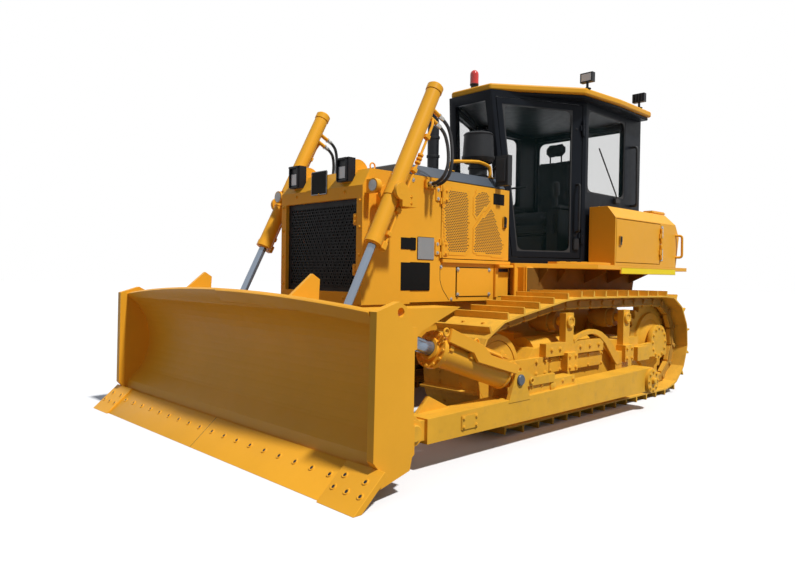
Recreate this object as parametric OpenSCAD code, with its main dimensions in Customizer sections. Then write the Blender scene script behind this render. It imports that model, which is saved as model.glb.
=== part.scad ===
// Medium crawler dozer with a straight tilt blade, a six-sided cab and side-mounted lift cylinders.
// Millimetres. +X is forward, +Y is the machine's left side, +Z is up, and z = 0 is the ground.

/* [Tracks] */
// Distance between the centre lines of the two tracks
track_gauge = 1880; // [1700:10:2200]
// Width of a track shoe
shoe_w = 510; // [400:10:600]
// Distance from the sprocket centre to the idler centre
wheel_base = 2635; // [2500:5:2800]
// Number of shoes in one track
shoe_count = 38; // [36:1:40]
// Radius of the pin line around the sprocket
sprocket_pin_r = 408; // [390:1:430]
// Radius of the pin line around the idler
idler_pin_r = 338; // [320:1:360]
// Height of a grouser bar above its shoe plate
grouser_h = 50; // [30:1:60]
// Position of the idler centre along the machine
idler_x = 815; // [780:5:850]

/* [Blade] */
// Width over the end bits
blade_w = 3388; // [3200:2:3600]
// Height of the blade at its ends
blade_h = 975; // [970:1:990]
// Extra height of the blade's middle
blade_arch = 80; // [60:5:120]
// Radius of the mouldboard's face
mold_r = 447; // [442:1:452]
// Deepest point of the mouldboard's face
mold_x = 2300; // [2296:1:2304]
// Height of the deepest point
mold_z = 583; // [578:1:588]

/* [Push arms] */
// Distance from the middle of the machine to a push arm
arm_y = 1360; // [1340:1:1400]
// Width of a push arm
arm_w = 170; // [140:2:180]
// Distance from the trunnion to the ball joint at the blade
arm_len = 2992; // [2980:1:3000]
// Height of the trunnion and the ball joint
arm_z = 262; // [255:1:275]
// Position of the ball joint along the machine
ball_x = 2092; // [2085:1:2100]
// Radius of the ball on the blade
ball_r = 60; // [50:1:64]

/* [Lift cylinders] */
// Distance from the middle of the machine to a lift cylinder
lift_y = 681; // [675:1:700]
// Radius of a lift barrel
lift_barrel_r = 58; // [50:1:62]
// Radius of a lift rod
lift_rod_r = 30; // [24:1:36]
// Position of the barrel trunnion along the machine
lift_x = 1538; // [1530:1:1545]
// Height of the barrel trunnion
lift_z = 1745; // [1735:1:1755]
// Position of the rod eye along the machine
lift_eye_x = 2131; // [2120:1:2140]
// Height of the rod eye
lift_eye_z = 580; // [570:1:590]

/* [Tilt cylinder] */
// Radius of the tilt barrel
tilt_barrel_r = 90; // [80:1:96]
// Radius of the tilt rod
tilt_rod_r = 45; // [36:1:50]
// Position of the clevis pin on the arm
tilt_x = 1054; // [1040:2:1070]
// Height of the clevis pin
tilt_z = 462; // [455:1:480]
// Position of the rod eye at the blade
tilt_eye_x = 2200; // [2195:1:2205]
// Height of the rod eye at the blade
tilt_eye_z = 830; // [825:1:840]

/* [Hood] */
// Width of the hood over its side panels
hood_w = 1000; // [960:4:1006]
// Height of the seam between side panels and hood cover
hood_z = 1930; // [1900:5:1960]
// Height of the hood cover
hood_cover_h = 100; // [70:5:120]
// Front face of the radiator guard
guard_x = 1670; // [1655:5:1680]
// Length of the radiator guard
guard_l = 490; // [460:5:510]
// Width of the radiator guard
guard_w = 1008; // [1008:2:1030]
// Bottom of the radiator guard, on the frame rails
guard_z = 940; // [920:5:960]
// Hinge edge of the hood doors
hood_door_x = 827; // [810:1:840]
// Length of a hood door
hood_door_l = 890; // [860:5:890]
// Bottom edge of a hood door
hood_door_z = 1300; // [1280:5:1330]

/* [Cab] */
// Front wall of the cab at the roof
cab_front_x = -85; // [-95:5:-75]
// Distance that the front wall falls back from the roof to the deck
cab_lean = 190; // [160:5:210]
// Half width of the front wall at the roof
cab_front_half = 253; // [247:2:259]
// Position of the wide corners along the machine
cab_wide_x = -1000; // [-1010:5:-990]
// Half width at the wide corners
cab_half = 705; // [700:1:710]
// Rear wall of the cab
cab_rear_x = -2150; // [-2160:5:-2120]
// Half width of the rear wall
cab_rear_half = 690; // [660:5:700]
// Height of the deck that carries the cab
deck_z = 1280; // [1275:1:1285]
// Underside of the roof
roof_z = 2880; // [2860:5:2900]
// Thickness of the roof
roof_h = 65; // [50:5:90]
// Thickness of the cab walls
cab_wall = 60; // [50:2:70]

/* [Rear boxes] */
// Front of the side boxes
box_front_x = -1020; // [-1040:5:-1000]
// Rear of the side boxes
box_rear_x = -2440; // [-2450:5:-2430]
// Depth of a side box, across the machine
box_depth = 273; // [265:2:279]
// Height of the side boxes above the deck
box_h = 560; // [550:2:570]

/* [Clearances] */
// Gap of a running fit at a pin, rod or ball
run_gap = 0.4; // [0.2:0.1:0.6]
// Gap between pieces that only lie against each other
seat_gap = 0.3; // [0.2:0.1:0.5]
// Gap round a door in its opening
door_gap = 7; // [5:1:10]
// Side gap between a rod eye and its ears
eye_gap = 32; // [30:1:38]

/* [Hidden] */
$fn = 48;
// Overrun of every cut past the face it leaves
over = 5;
yellow = [0.95, 0.64, 0.13];
dark = [0.10, 0.10, 0.11];
grey = [0.24, 0.25, 0.27];
steel = [0.62, 0.63, 0.65];
glass = [0.55, 0.66, 0.66, 0.4];

// Track chain
link_half = 48;
plate_t = 14;
rail_seat = 2;
rail_w = 40;
rail_y = 95;
pin_z = link_half + plate_t + grouser_h;
track_y = track_gauge / 2;
sprocket_x = idler_x - wheel_base;
sprocket_z = pin_z + sprocket_pin_r;
idler_z = pin_z + idler_pin_r;
carrier_front_x = -9;
carrier_set = 842;
carrier_rear_x = sprocket_x + carrier_set;
carrier_r = 80;
carrier_gap = 10;
carrier_z = 797;
carrier_pin_z = carrier_z + carrier_r + carrier_gap + link_half;
roller_r = 100;
roller_z = pin_z + link_half + seat_gap + roller_r;
roller_count = 6;
roller_first_x = 440;
roller_set = 610;
roller_last_x = sprocket_x + roller_set;
tread_half = 125;
flange_h = 18;
flange_half = 66;
tooth_count = 25;
tooth_tip_r = 425;
tooth_root_r = 372;
sprocket_t = 60;
hub_r = 290;
drive_out = 110;
// Shares of a shoe's length and of its height, along one link of the chain
shoe_u_shares = [0.01, 0.78, 0.80, 0.88, 0.90];
shoe_top_shares = [0, 0, 1, 1, 0];
rail_u_shares = [0, 0.12, 0.88];
rail_h_shares = [0.35, 1, 1];
tooth_shares = [0.00, 0.30, 0.44, 0.70];

// Track frames
beam_half = 172;
beam_bottom = 380;
beam_top = 600;
beam_front_x = 500;
beam_set = 490;
beam_rear_x = sprocket_x + beam_set;
beam_nose = 90;
skirt_t = 40;
skirt_bottom = 215;
fork_t = 34;
fork_back_x = 250;
fork_front_x = 900;
fork_half_h = 80;
spring_r = 125;
spring_z = 548;
spring_front_x = 330;
spring_set = 1260;
spring_rear_x = sprocket_x + spring_set;
post_w = 120;
post_t = 60;
post_bottom = 400;
post_top = 870;
post_foot_h = 150;
post_foot_share = 0.65;
carrier_shaft_r = 38;
guard_box_h = 70;
bracket_t = 46;
bracket_r = 170;
trunnion_r = 70;
trunnion_x = ball_x - arm_len;

// Main frame
rail_out = 380;
rail_in = 300;
rail_bottom = 620;
pan_bottom = 560;
frame_front_x = 1650;
case_set = [320, -480];
case_front_x = sprocket_x + case_set[0];
case_rear_x = sprocket_x + case_set[1];
case_bottom = 450;
case_top = deck_z - 40;
pivot_r = 75;
pivot_set = 670;
pivot_x = sprocket_x + pivot_set;
pivot_z = 500;
hanger_half = 100;
bar_x = 200;
bar_half = 60;
bar_h = 90;
bar_reach = 45;
engine_x = [0, 1130];
engine_bottom = 700;
engine_top = 1760;
deck_t = 40;

// Blade
mold_t = 22;
mold_c = [mold_x + mold_r, mold_z];
lip_z = 940;
lip_set = -1;
lip_t = 20;
lip_low = 8;
lip_lean = 35;
mold_low_z = 227;
end_plate_in = 1590;
end_plate_t = 50;
edge_t = 25;
edge_top = [2520, 172];
edge_tip_x = 2715;
bit_extra = 12;
bit_in = 1400;
bit_gap = 3;
beam_back_x = 2215;
ear_t = 30;
lift_ear_share = 1.3;
pin_cap_share = 0.8;
ball_ear_share = 1.25;
ear_share = 0.94;
lift_eye_r = 50;
lift_eye_half = 45;
ball_pin_r = 35;
eye_half = 60;
eye_r = 100;
ball_gap = 15;
tilt_eye_r = 60;
tilt_eye_half = 45;
tilt_gap = 15;
cheek_t = 50;
tilt_slot_half = tilt_eye_half + tilt_gap;
tilt_slot_x = tilt_eye_x + tilt_eye_r + tilt_gap;
horn_t = 30;
horn_outline = [[2215, 770], [2197, 1125], [2252, 1160], [2488, 965], [2450, 935], [2335, 870]];
lift_hole_r = 25;
lift_hole_x = 2380;
lift_hole_set = 7;
horn_y = 695;
plate_front_x = 2550;
plate_peak_x = 2390;
plate_shoulder_x = 2341;
plate_peak_h = 49;
plate_shoulder_h = 23;
plate_back = [[2290, 880], [2275, 790]];
plate_heel = [2275, 229];
plate_sole = [2300, 130];
plate_step = 85;
seat_l = 170;
low_beam_z = [190, 350];
high_beam_z = [760, 880];
high_beam_x = 2205;
beam_low_a = 209;
beam_high_a = [160, 137];
wedge_tip = [1710, 974];
wedge_low = [2048, 841];
wedge_front = 40;
edge_dir = [edge_tip_x - edge_top.x, -edge_top.y] / norm([edge_tip_x - edge_top.x, -edge_top.y]);
edge_out = [-edge_dir.y, edge_dir.x];
edge_back = edge_top - edge_t * edge_out;

// Arms
arm_bottom = 172;
arm_top_front = 322;
arm_top_rear = 374;
arm_front_x = 1960;
hub_outer_r = 118;
clevis_r = 62;
clevis_shares = [0.8, 0.6];
clevis_gap = 24;
brace_pin_r = 25;
left_ball_gap = 4.5;
arm_neck = 20;
clevis_eye_half = 35;
tilt_ball_r = 48;
tilt_pin_r = 30;
brace_gap = 20;
brace_r = 55;
brace_neck_l = 195;
brace_neck_r = 31;
cap_r = 105;
cap_t = 26;
arm_box_x = [300, 900];
arm_box_h = 95;
gusset_x = [1700, 1900];
gusset_h = 95;

// Cylinders, along their own axes
lift_dir = [lift_eye_x - lift_x, lift_eye_z - lift_z];
lift_l = norm(lift_dir);
lift_lean = atan2(lift_dir.x, -lift_dir.y);
lift_top_l = 924;
lift_bottom_l = 416;
lift_cap_l = 46;
lift_cap_extra = 5;
lift_ring_l = 42;
lift_pin_r = 30;
lift_rod_in = -15;
lift_bore_top = -875;
tine_gap = 8;
tine_t = 30;
tine_r = 60;
port_l = [-760, -690];
port_r = 16;
port_reach = 92;
tilt_dir = [tilt_eye_x - tilt_x, tilt_eye_z - tilt_z];
tilt_l = norm(tilt_dir);
tilt_lean = atan2(tilt_dir.y, tilt_dir.x);
tilt_barrel_l = [110, 840];
tilt_flange_l = 34;
tilt_flange_extra = 26;
tilt_bore_l = 160;
tilt_rod_in = 560;
tilt_neck_r = 50;
tilt_guard_l = [170, 700];
tilt_guard_t = 16;
tilt_guard_lift = 14;

// Hood
panel_t = 30;
panel_bottom = 950;
panel_rear_x = -70;
guard_back_x = guard_x - guard_l;
guard_top_front = 1800;
guard_top = 1925;
guard_chamfer = 70;
opening_half = 440;
opening_z = [1030, 1710];
grille_t = 20;
grille_set = 30;
grille_rim = 30;
grille_hole = 44;
grille_web = 9;
core_x = [1330, 1450];
wall_x = [-60, -20];
wall_inset = 8;
cover_bevel = 95;
cover_rear_x = -20;
cover_t = 25;
lamp_y = 301;
lamp_half = 64;
lamp_z = [1836, 2012];
lamp_back_x = 1622;
lamp_front_x = 1690;
cowl_at = [1588, 1908];
cowl_r = 98;
cowl_half = 58;
hinge_r = 11;
hinge_out = 14;
hinge_h = 50;
hinge_gap = 0.6;
perf_w = 36;
perf_h = 16;
perf_pitch_x = 50;
perf_pitch_z = 32;
perf_margin = 70;
perf_cols = floor((hood_door_l - 2 * perf_margin) / perf_pitch_x) - 1;
perf_rows = floor((hood_z - hood_door_z - 2 * perf_margin) / perf_pitch_z) - 1;
front_field = [[753, 1855], [512, 1862], [497, 1748], [500, 1385], [537, 1347],
    [740, 1341], [779, 1431], [803, 1691]];
upper_field = [[383, 1875], [243, 1880], [213, 1797], [390, 1649], [417, 1672], [415, 1822]];
lower_field = [[198, 1747], [163, 1733], [21, 1447], [32, 1342], [82, 1336], [422, 1359], [414, 1572]];
latch_z = [1590, 1680];
latch_t = 12;
latch_w = 46;
latch_h = 90;
stack_at = [330, -70];
stack_r = 52;
stack_h = 500;
stack_bend_r = 110;
stack_wall = 5;
cleaner_at = [75, 250];
cleaner_neck_r = 82;
cleaner_r = 150;
cleaner_shares = [1.3, 0.85, 0.95, 0.87, 1.4];
rail_tube_r = 15;
rail_set = 20;
rail_points = [[600, 0], [600, 30], [598, 55], [575, 85], [420, 105],
    [230, 125], [105, 108], [75, 85], [70, 30], [70, 0]];
yoke_cap_at = [590, 1790];
yoke_cap_r = 50;
yoke_cap_x = [1608, 1652];
yoke_bridge_x = [1395, 1450];
yoke_bridge_z = [1640, 1735];

// Cab
cab_nose = 80;
cab_nose_x = cab_front_x + cab_nose;
wall_slope = (cab_half - cab_front_half) / (cab_front_x - cab_wide_x);
wall_stretch = norm([1, wall_slope]);
cab_lean_a = atan2(cab_lean, roof_z - deck_z);
function wall_y(x) = cab_half - (x - cab_wide_x) * wall_slope;
function front_x(z) = cab_front_x - cab_lean * (roof_z - z) / (roof_z - deck_z);
function front_s(z) = (cab_nose_x - front_x(z)) * wall_stretch;
cab_corners = [[cab_nose_x, -wall_y(cab_nose_x)], [cab_nose_x, wall_y(cab_nose_x)], [cab_wide_x, cab_half],
    [cab_rear_x, cab_rear_half], [cab_rear_x, -cab_rear_half], [cab_wide_x, -cab_half]];
door_margin = 38;
door_post = 40;
door_sill = 58;
door_top = 58;
door_t = 45;
door_rim = 55;
door_rear_rim = 105;
pane_t = 8;
window_margin = 75;
window_top = 90;
side_window = [40, 800];
window_rim = 14;
front_window_z = 1950;
rear_window_z = 1990;
roof_outline = [[-95, 235], [-833, 795], [-1437, 836], [-2130, 820]];
beacon_at = [-180, -22];
beacon_r = 42;
beacon_h = 185;
lamp_box = [50, 130, 90];
roof_lamp_at = [[-891, 771], [-1900, 790]];
mirror_x = [8, 94];
mirror_y = [385, 490, 620];
mirror_z = [1948, 2208];
mirror_arm_z = 2125;
lamp_foot_h = 60;
lamp_foot_r = 12;
seat_x = -1250;
seat_w = 520;
seat_base_share = 0.7;
seat_h = 420;
seat_back_h = 640;
seat_t = 130;

// Rear
box_inner = 745;
box_half = box_inner + box_depth;
box_wall = 40;
box_bevel = [84, 106];
box_tail = [[-2240, 1850], [-2331, 1730], [-2421, 1600], [-2352, 1270]];
box_top = deck_z + box_h;
deck_rear_x = -2640;
deck_front_half = 560;
deck_wide_x = -720;
strip_x = [-2354, -1142];
strip_t = 12;
strip_z = 1200;
fender_y = 630;
fender_t = 30;
fender_bottom = 960;
fender_x = [-2080, -120];
fender_slant = 70;
box_door_x = [-1969, -1040];
box_door_z = [1305, 1725];
box_door_t = 24;
tank_front_x = -2180;
tank_rear_x = -2640;
tank_half = 700;
tank_h = 560;
tank_bevel = 70;
hitch_t = 60;
hitch_rear_x = -2733;
hitch_half = 110;
hitch_hole_r = 26;
hitch_z = [520, 720];

// Hoses, from the barrel ports to the bulkhead fittings on the hood side
hose_r = 13;
fitting_r = 18;
fitting_l = 30;
fitting_x = [1010, 950];
fitting_z = 1870;
hose_gap = 2;
hose_lead = 45;
hose_bends_upper = [[975, 686, 2290], [951, 694, 2215], [944, 702, 2110], [946, 702, 2010], [948, 675, 1930],
    [950, 625, 1885]];
hose_bends_lower = [[1008, 684, 2228], [986, 693, 2150], [984, 702, 2060],
    [994, 702, 1985], [1004, 675, 1920],
    [1010, 625, 1882]];

// Points along the pin line: ground run, sprocket, upper run over the carriers, idler
sprocket_c = [sprocket_x, sprocket_z];
idler_c = [idler_x, idler_z];
top_rear = [carrier_rear_x, carrier_pin_z];
top_front = [carrier_front_x, carrier_pin_z];
function angle_to(a, b) = atan2(b.y - a.y, b.x - a.x);
function on_circle(c, r, a) = c + r * [cos(a), sin(a)];
a_sprocket = angle_to(sprocket_c, top_rear) + acos(sprocket_pin_r / norm(top_rear - sprocket_c));
a_idler = angle_to(idler_c, top_front) - acos(idler_pin_r / norm(top_front - idler_c));
sprocket_off = on_circle(sprocket_c, sprocket_pin_r, a_sprocket);
idler_on = on_circle(idler_c, idler_pin_r, a_idler);
run_1 = wheel_base;
run_2 = run_1 + sprocket_pin_r * (270 - a_sprocket) * PI / 180;
run_3 = run_2 + norm(top_rear - sprocket_off);
run_4 = run_3 + norm(top_front - top_rear);
run_5 = run_4 + norm(idler_on - top_front);
run_6 = run_5 + idler_pin_r * (a_idler + 90) * PI / 180;
function between(a, b, s) = a + (b - a) * s / norm(b - a);
function pin_at(s) =
    s < run_1 ? [idler_x - s, pin_z] :
    s < run_2 ? on_circle(sprocket_c, sprocket_pin_r, 270 - (s - run_1) / sprocket_pin_r * 180 / PI) :
    s < run_3 ? between(sprocket_off, top_rear, s - run_2) :
    s < run_4 ? between(top_rear, top_front, s - run_3) :
    s < run_5 ? between(top_front, idler_on, s - run_4) :
    on_circle(idler_c, idler_pin_r, a_idler - (s - run_5) / idler_pin_r * 180 / PI);
pins = [for (i = [0 : shoe_count]) pin_at((i % shoe_count) * run_6 / shoe_count)];
function link_dir(i) = (pins[i + 1] - pins[i]) / norm(pins[i + 1] - pins[i]);
function link_at(i, u, h) = pins[i] + u * (pins[i + 1] - pins[i]) + h * [-link_dir(i).y, link_dir(i).x];
function span(a, b) = [for (i = [a : b - 1]) i];

// Places a flat outline of [x, z] points from y0 to y1
module plate_xz(points, y0, y1) {
    translate([0, y1, 0]) rotate([90, 0, 0]) linear_extrude(y1 - y0) polygon(points);
}

// Places a flat outline of [y, z] points from x0 to x1
module plate_yz(points, x0, x1) {
    translate([x0, 0, 0]) rotate([90, 0, 90]) linear_extrude(x1 - x0) polygon(points);
}

// A box given by its limits along each axis
module slab(x, y, z) {
    translate([x[0], y[0], z[0]]) cube([x[1] - x[0], y[1] - y[0], z[1] - z[0]]);
}

// A round bar across the machine
module bar_y(x, z, r, y0, y1) {
    translate([x, y0, z]) rotate([-90, 0, 0]) cylinder(r = r, h = y1 - y0);
}

// A round bar along the machine
module bar_x(y, z, r, x0, x1) {
    translate([x0, y, z]) rotate([0, 90, 0]) cylinder(r = r, h = x1 - x0);
}

// The same pieces on the left and on the right
module both_sides() {
    children();
    mirror([0, 1, 0]) children();
}

// Track loop: shoes with grousers round two link rails
module track() {
    outer = [for (i = [0 : shoe_count - 1]) for (k = [0 : len(shoe_u_shares) - 1])
        link_at(i, shoe_u_shares[k], link_half + plate_t + grouser_h * shoe_top_shares[k])];
    inner = [for (i = [0 : shoe_count - 1]) link_at(i, shoe_u_shares[0], link_half)];
    crown = [for (i = [0 : shoe_count - 1]) link_at(i, shoe_u_shares[0], link_half + rail_seat)];
    tread = [for (i = [0 : shoe_count - 1]) for (k = [0 : len(rail_u_shares) - 1])
        link_at(i, rail_u_shares[k], -link_half * rail_h_shares[k])];
    color(grey) {
        loop_xz(outer, inner, track_y - shoe_w / 2, track_y + shoe_w / 2);
        for (s = [-1, 1])
            loop_xz(crown, tread, track_y + s * rail_y - rail_w / 2, track_y + s * rail_y + rail_w / 2);
    }
}

// A closed band between an outer and an inner outline
module loop_xz(outer, inner, y0, y1) {
    n = len(outer);
    translate([0, y1, 0]) rotate([90, 0, 0]) linear_extrude(y1 - y0)
        polygon(concat(outer, inner), [span(0, n), span(n, n + len(inner))]);
}

module track_left() { track(); }

module track_right() { mirror([0, 1, 0]) track(); }

// Idlers with a centre flange between the link rails
module idlers() {
    r = sqrt(pow(idler_pin_r, 2) - pow(run_6 / shoe_count / 2, 2)) - link_half - seat_gap;
    rim = 40;
    web = 30;
    hub = 95;
    shaft = 55;
    color(yellow) both_sides() translate([idler_x, track_y, idler_z]) rotate([-90, 0, 0]) rotate_extrude()
        polygon([[0, -beam_half], [shaft, -beam_half], [shaft, -tread_half], [hub, -tread_half],
            [hub, -web], [r - rim, -web], [r - rim, -tread_half], [r, -tread_half], [r, -flange_half],
            [r + flange_h, -flange_half], [r + flange_h, flange_half], [r, flange_half], [r, tread_half],
            [r - rim, tread_half], [r - rim, web], [hub, web], [hub, tread_half], [shaft, tread_half],
            [shaft, beam_half], [0, beam_half]]);
}

// Lower track rollers with flanges each side of the rails
module track_rollers() {
    step = (roller_last_x - roller_first_x) / (roller_count - 1);
    color(grey) both_sides() for (i = [0 : roller_count - 1])
        translate([roller_first_x + i * step, track_y, roller_z]) rotate([-90, 0, 0]) rotate_extrude()
            polygon([[0, -tread_half], [roller_r, -tread_half], [roller_r, -flange_half],
                [roller_r + flange_h, -flange_half], [roller_r + flange_h, flange_half],
                [roller_r, flange_half], [roller_r, tread_half], [0, tread_half]]);
}

// Carrier rollers under the upper run
module carrier_rollers() {
    color(grey) both_sides() for (x = [carrier_front_x, carrier_rear_x])
        translate([x, track_y, carrier_z]) rotate([-90, 0, 0]) rotate_extrude()
            polygon([[0, -tread_half], [carrier_r, -tread_half], [carrier_r, -flange_half],
                [carrier_r + flange_h, -flange_half], [carrier_r + flange_h, flange_half],
                [carrier_r, flange_half], [carrier_r, tread_half], [0, tread_half]]);
}

// Toothed sprocket rings
module sprockets() {
    teeth = [for (i = [0 : tooth_count - 1]) for (k = [0 : 3])
        on_circle([0, 0], k == 1 || k == 2 ? tooth_tip_r : tooth_root_r,
            (i + tooth_shares[k]) * 360 / tooth_count)];
    color(grey) both_sides() translate([sprocket_x, track_y + sprocket_t / 2, sprocket_z]) rotate([90, 0, 0])
        difference() {
            linear_extrude(sprocket_t) polygon(teeth);
            translate([0, 0, -over]) cylinder(r = hub_r + seat_gap, h = sprocket_t + 2 * over);
        }
}

// Final drives: inner housing, hub and domed outer cover
module final_drives() {
    dome = 105;
    cover_r = 225;
    flange_r = 260;
    neck_r = 200;
    outer_y = track_y + drive_out;
    color(yellow) both_sides() {
        bar_y(sprocket_x, sprocket_z, neck_r, rail_out, track_y - sprocket_t);
        bar_y(sprocket_x, sprocket_z, flange_r, rail_out, rail_out + sprocket_t);
        bar_y(sprocket_x, sprocket_z, hub_r, track_y - sprocket_t, track_y + sprocket_t);
        translate([sprocket_x, track_y + sprocket_t, sprocket_z]) rotate([-90, 0, 0])
            cylinder(r1 = cover_r, r2 = dome, h = outer_y - track_y - sprocket_t);
    }
}

// Track frames: roller beams, idler forks, carrier posts, sprocket brackets and arm trunnions
module track_frames() {
    y_in = track_y - beam_half;
    y_out = track_y + beam_half;
    color(yellow) both_sides() {
        plate_xz([[beam_rear_x, beam_bottom], [beam_front_x, beam_bottom],
            [beam_front_x, beam_top - beam_nose],
            [beam_front_x - beam_nose, beam_top], [beam_rear_x, beam_top]], y_in, y_out);
        for (y = [y_in, y_out - skirt_t])
            plate_xz([[roller_last_x - roller_r, beam_bottom], [roller_last_x, skirt_bottom],
                [roller_first_x, skirt_bottom], [roller_first_x + beam_nose / 2, beam_bottom]],
                    y, y + skirt_t);
        for (y = [y_in - fork_t, y_out])
            slab([fork_back_x, fork_front_x], [y, y + fork_t],
                [idler_z - fork_half_h, idler_z + fork_half_h]);
        bar_x(track_y, spring_z, spring_r, spring_rear_x, spring_front_x);
        for (x = [carrier_front_x, carrier_rear_x]) carrier_post(x, y_out);
        slab([spring_rear_x, spring_front_x], [y_out, y_out + post_t],
            [beam_top - guard_box_h, beam_top + guard_box_h / 2]);
        sprocket_bracket(y_out);
        bar_y(trunnion_x, arm_z, trunnion_r, y_out - skirt_t, arm_y + arm_w / 2);
        slab([trunnion_x - hub_outer_r, trunnion_x + hub_outer_r], [y_out, y_out + post_t],
            [arm_z - hub_outer_r, beam_bottom + hub_outer_r]);
    }
}

// Post that holds one carrier roller by its shaft
module carrier_post(x, y) {
    slab([x - post_w / 2, x + post_w / 2], [y, y + post_t], [post_bottom, post_top]);
    foot = post_w * post_foot_share;
    slab([x - foot, x + foot], [y, y + post_t + fork_t], [post_bottom, post_bottom + post_foot_h]);
    bar_y(x, carrier_z, carrier_shaft_r, track_y + tread_half, y);
}

// Outer bearing bracket of the sprocket, with a round top
module sprocket_bracket(y) {
    y0 = track_y + drive_out + seat_gap;
    bar_y(sprocket_x, sprocket_z, bracket_r, y0, y0 + bracket_t);
    plate_xz([[sprocket_x - bracket_r, sprocket_z], [sprocket_x - bracket_r, beam_bottom],
        [beam_rear_x + over, beam_bottom], [beam_rear_x + over, beam_top - beam_nose],
        [sprocket_x + bracket_r, sprocket_z]], y0, y0 + bracket_t);
    slab([beam_rear_x - post_w, beam_rear_x + post_w], [y, y + post_t], [beam_bottom, beam_top - beam_nose]);
}

// Main frame: side rails, belly pan, rear case, pivot shaft and equalizer bar
module main_frame() {
    color(yellow) {
        both_sides() slab([case_front_x, frame_front_x], [rail_in, rail_out], [rail_bottom, guard_z]);
        slab([case_front_x, frame_front_x], [-rail_out, rail_out], [pan_bottom, rail_bottom]);
        plate_xz([[case_rear_x, case_bottom], [case_front_x, case_bottom], [case_front_x, case_top],
            [case_rear_x, case_top]], -rail_out, rail_out);
        slab([pivot_x - hanger_half, pivot_x + hanger_half], [-rail_in, rail_in],
            [pivot_z - pivot_r, pan_bottom]);
        bar_y(pivot_x, pivot_z, pivot_r, -track_y + beam_half, track_y - beam_half);
        slab([bar_x - bar_half, bar_x + bar_half],
            [-track_y + beam_half - bar_reach, track_y - beam_half + bar_reach],
                [beam_top, beam_top + bar_h]);
    }
}

// Engine as one plain block on the frame
module engine_block() {
    color(dark) slab(engine_x, [-rail_in + seat_gap, rail_in - seat_gap], [engine_bottom, engine_top]);
}

// Radiator guard with the brackets and yokes of the lift cylinders
module radiator_guard() {
    half = guard_w / 2;
    color(yellow) {
        difference() {
            union() {
                plate_xz([[guard_back_x, guard_z], [guard_x, guard_z], [guard_x, guard_top_front],
                    [guard_x - guard_chamfer, guard_top], [guard_back_x, hood_z]], -half, half);
                both_sides() bar_y(cowl_at.x, cowl_at.y, cowl_r, lamp_y - cowl_half, lamp_y + cowl_half);
            }
            slab([guard_back_x - over, guard_x + over], [-opening_half, opening_half], opening_z);
            both_sides() slab([lamp_back_x - seat_gap, lamp_front_x + over],
                [lamp_y - lamp_half, lamp_y + lamp_half],
                [lamp_z[0], lamp_z[1] + over]);
        }
        both_sides() lift_yoke(half);
    }
}

// Yoke that carries one lift barrel between two tines
module lift_yoke(y) {
    tine_in = lift_y - lift_barrel_r - tine_gap;
    tine_out = lift_y + lift_barrel_r + tine_gap;
    difference() {
        union() {
            slab([yoke_bridge_x[0], lift_x], [y, tine_in], [yoke_bridge_z[0], lift_z]);
            slab([yoke_bridge_x[0], yoke_bridge_x[1]], [y, tine_out + tine_t], yoke_bridge_z);
            for (y0 = [tine_in - tine_t, tine_out]) {
                bar_y(lift_x, lift_z, tine_r, y0, y0 + tine_t);
                slab([yoke_bridge_x[0], lift_x], [y0, y0 + tine_t], [yoke_bridge_z[0], lift_z]);
            }
        }
        bar_y(lift_x, lift_z, lift_pin_r + run_gap, tine_in - tine_t - over, tine_out + tine_t + over);
    }
    slab([yoke_cap_x[0], guard_x - guard_chamfer / 2], [y, yoke_cap_at[0]],
        [yoke_cap_at[1] - yoke_cap_r, yoke_cap_at[1] + yoke_cap_r]);
    bar_x(yoke_cap_at[0], yoke_cap_at[1], yoke_cap_r, yoke_cap_x[0], yoke_cap_x[1]);
}

// Grille: a rim round rows of staggered hexagonal holes
module grille() {
    w = opening_half - seat_gap;
    z0 = opening_z[0] + seat_gap;
    z1 = opening_z[1] - seat_gap;
    pitch = grille_hole + grille_web;
    row = pitch * sqrt(3) / 2;
    rows = floor((z1 - z0 - 2 * grille_rim - grille_hole) / row);
    cols = floor((2 * w - 2 * grille_rim - grille_hole - pitch / 2) / pitch);
    z_start = (z0 + z1 - rows * row) / 2;
    y_start = -(cols + 0.5) * pitch / 2;
    rim = [[-w, z0], [w, z0], [w, z1], [-w, z1]];
    hexes = [for (j = [0 : rows]) for (i = [0 : cols]) for (k = [0 : 5])
        on_circle([y_start + (i + (j % 2) / 2) * pitch, z_start + j * row], grille_hole / 2 * 2 / sqrt(3),
            30 + k * 60)];
    holes = [for (h = [0 : len(hexes) / 6 - 1]) span(4 + h * 6, 10 + h * 6)];
    x0 = guard_x - grille_set - grille_t;
    color(dark) translate([x0, 0, 0]) rotate([90, 0, 90]) linear_extrude(grille_t)
        polygon(concat(rim, hexes), concat([span(0, 4)], holes));
}

// Radiator behind the grille
module radiator_core() {
    color(dark) slab(core_x, [-opening_half + seat_gap, opening_half - seat_gap],
        [opening_z[0] + seat_gap, opening_z[1] - seat_gap]);
}

// Fixed hood panels: lower sides, front sides and the rear wall, with bulkhead fittings
module hood_panels() {
    half = hood_w / 2;
    front_x = hood_door_x + door_gap;
    low_z = hood_door_z - door_gap;
    color(yellow) {
        both_sides() {
            plate_xz([[panel_rear_x, panel_bottom], [guard_back_x, panel_bottom], [guard_back_x, hood_z],
                [front_x, hood_z], [front_x, low_z], [panel_rear_x, low_z]], half - panel_t, half);
            slab(wall_x, [half - panel_t - wall_inset, half - panel_t], [panel_bottom, low_z]);
            for (x = fitting_x) bar_y(x, fitting_z, fitting_r, half - panel_t, half + fitting_l);
            for (z = [hood_door_z + hinge_h, hood_z - 3 * hinge_h]) {
                hood_knuckle(z + hinge_h + hinge_gap);
                hood_knuckle(z - hinge_h - hinge_gap);
            }
        }
        slab(wall_x, [-half + panel_t + wall_inset, half - panel_t - wall_inset], [panel_bottom, hood_z]);
    }
}

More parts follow.
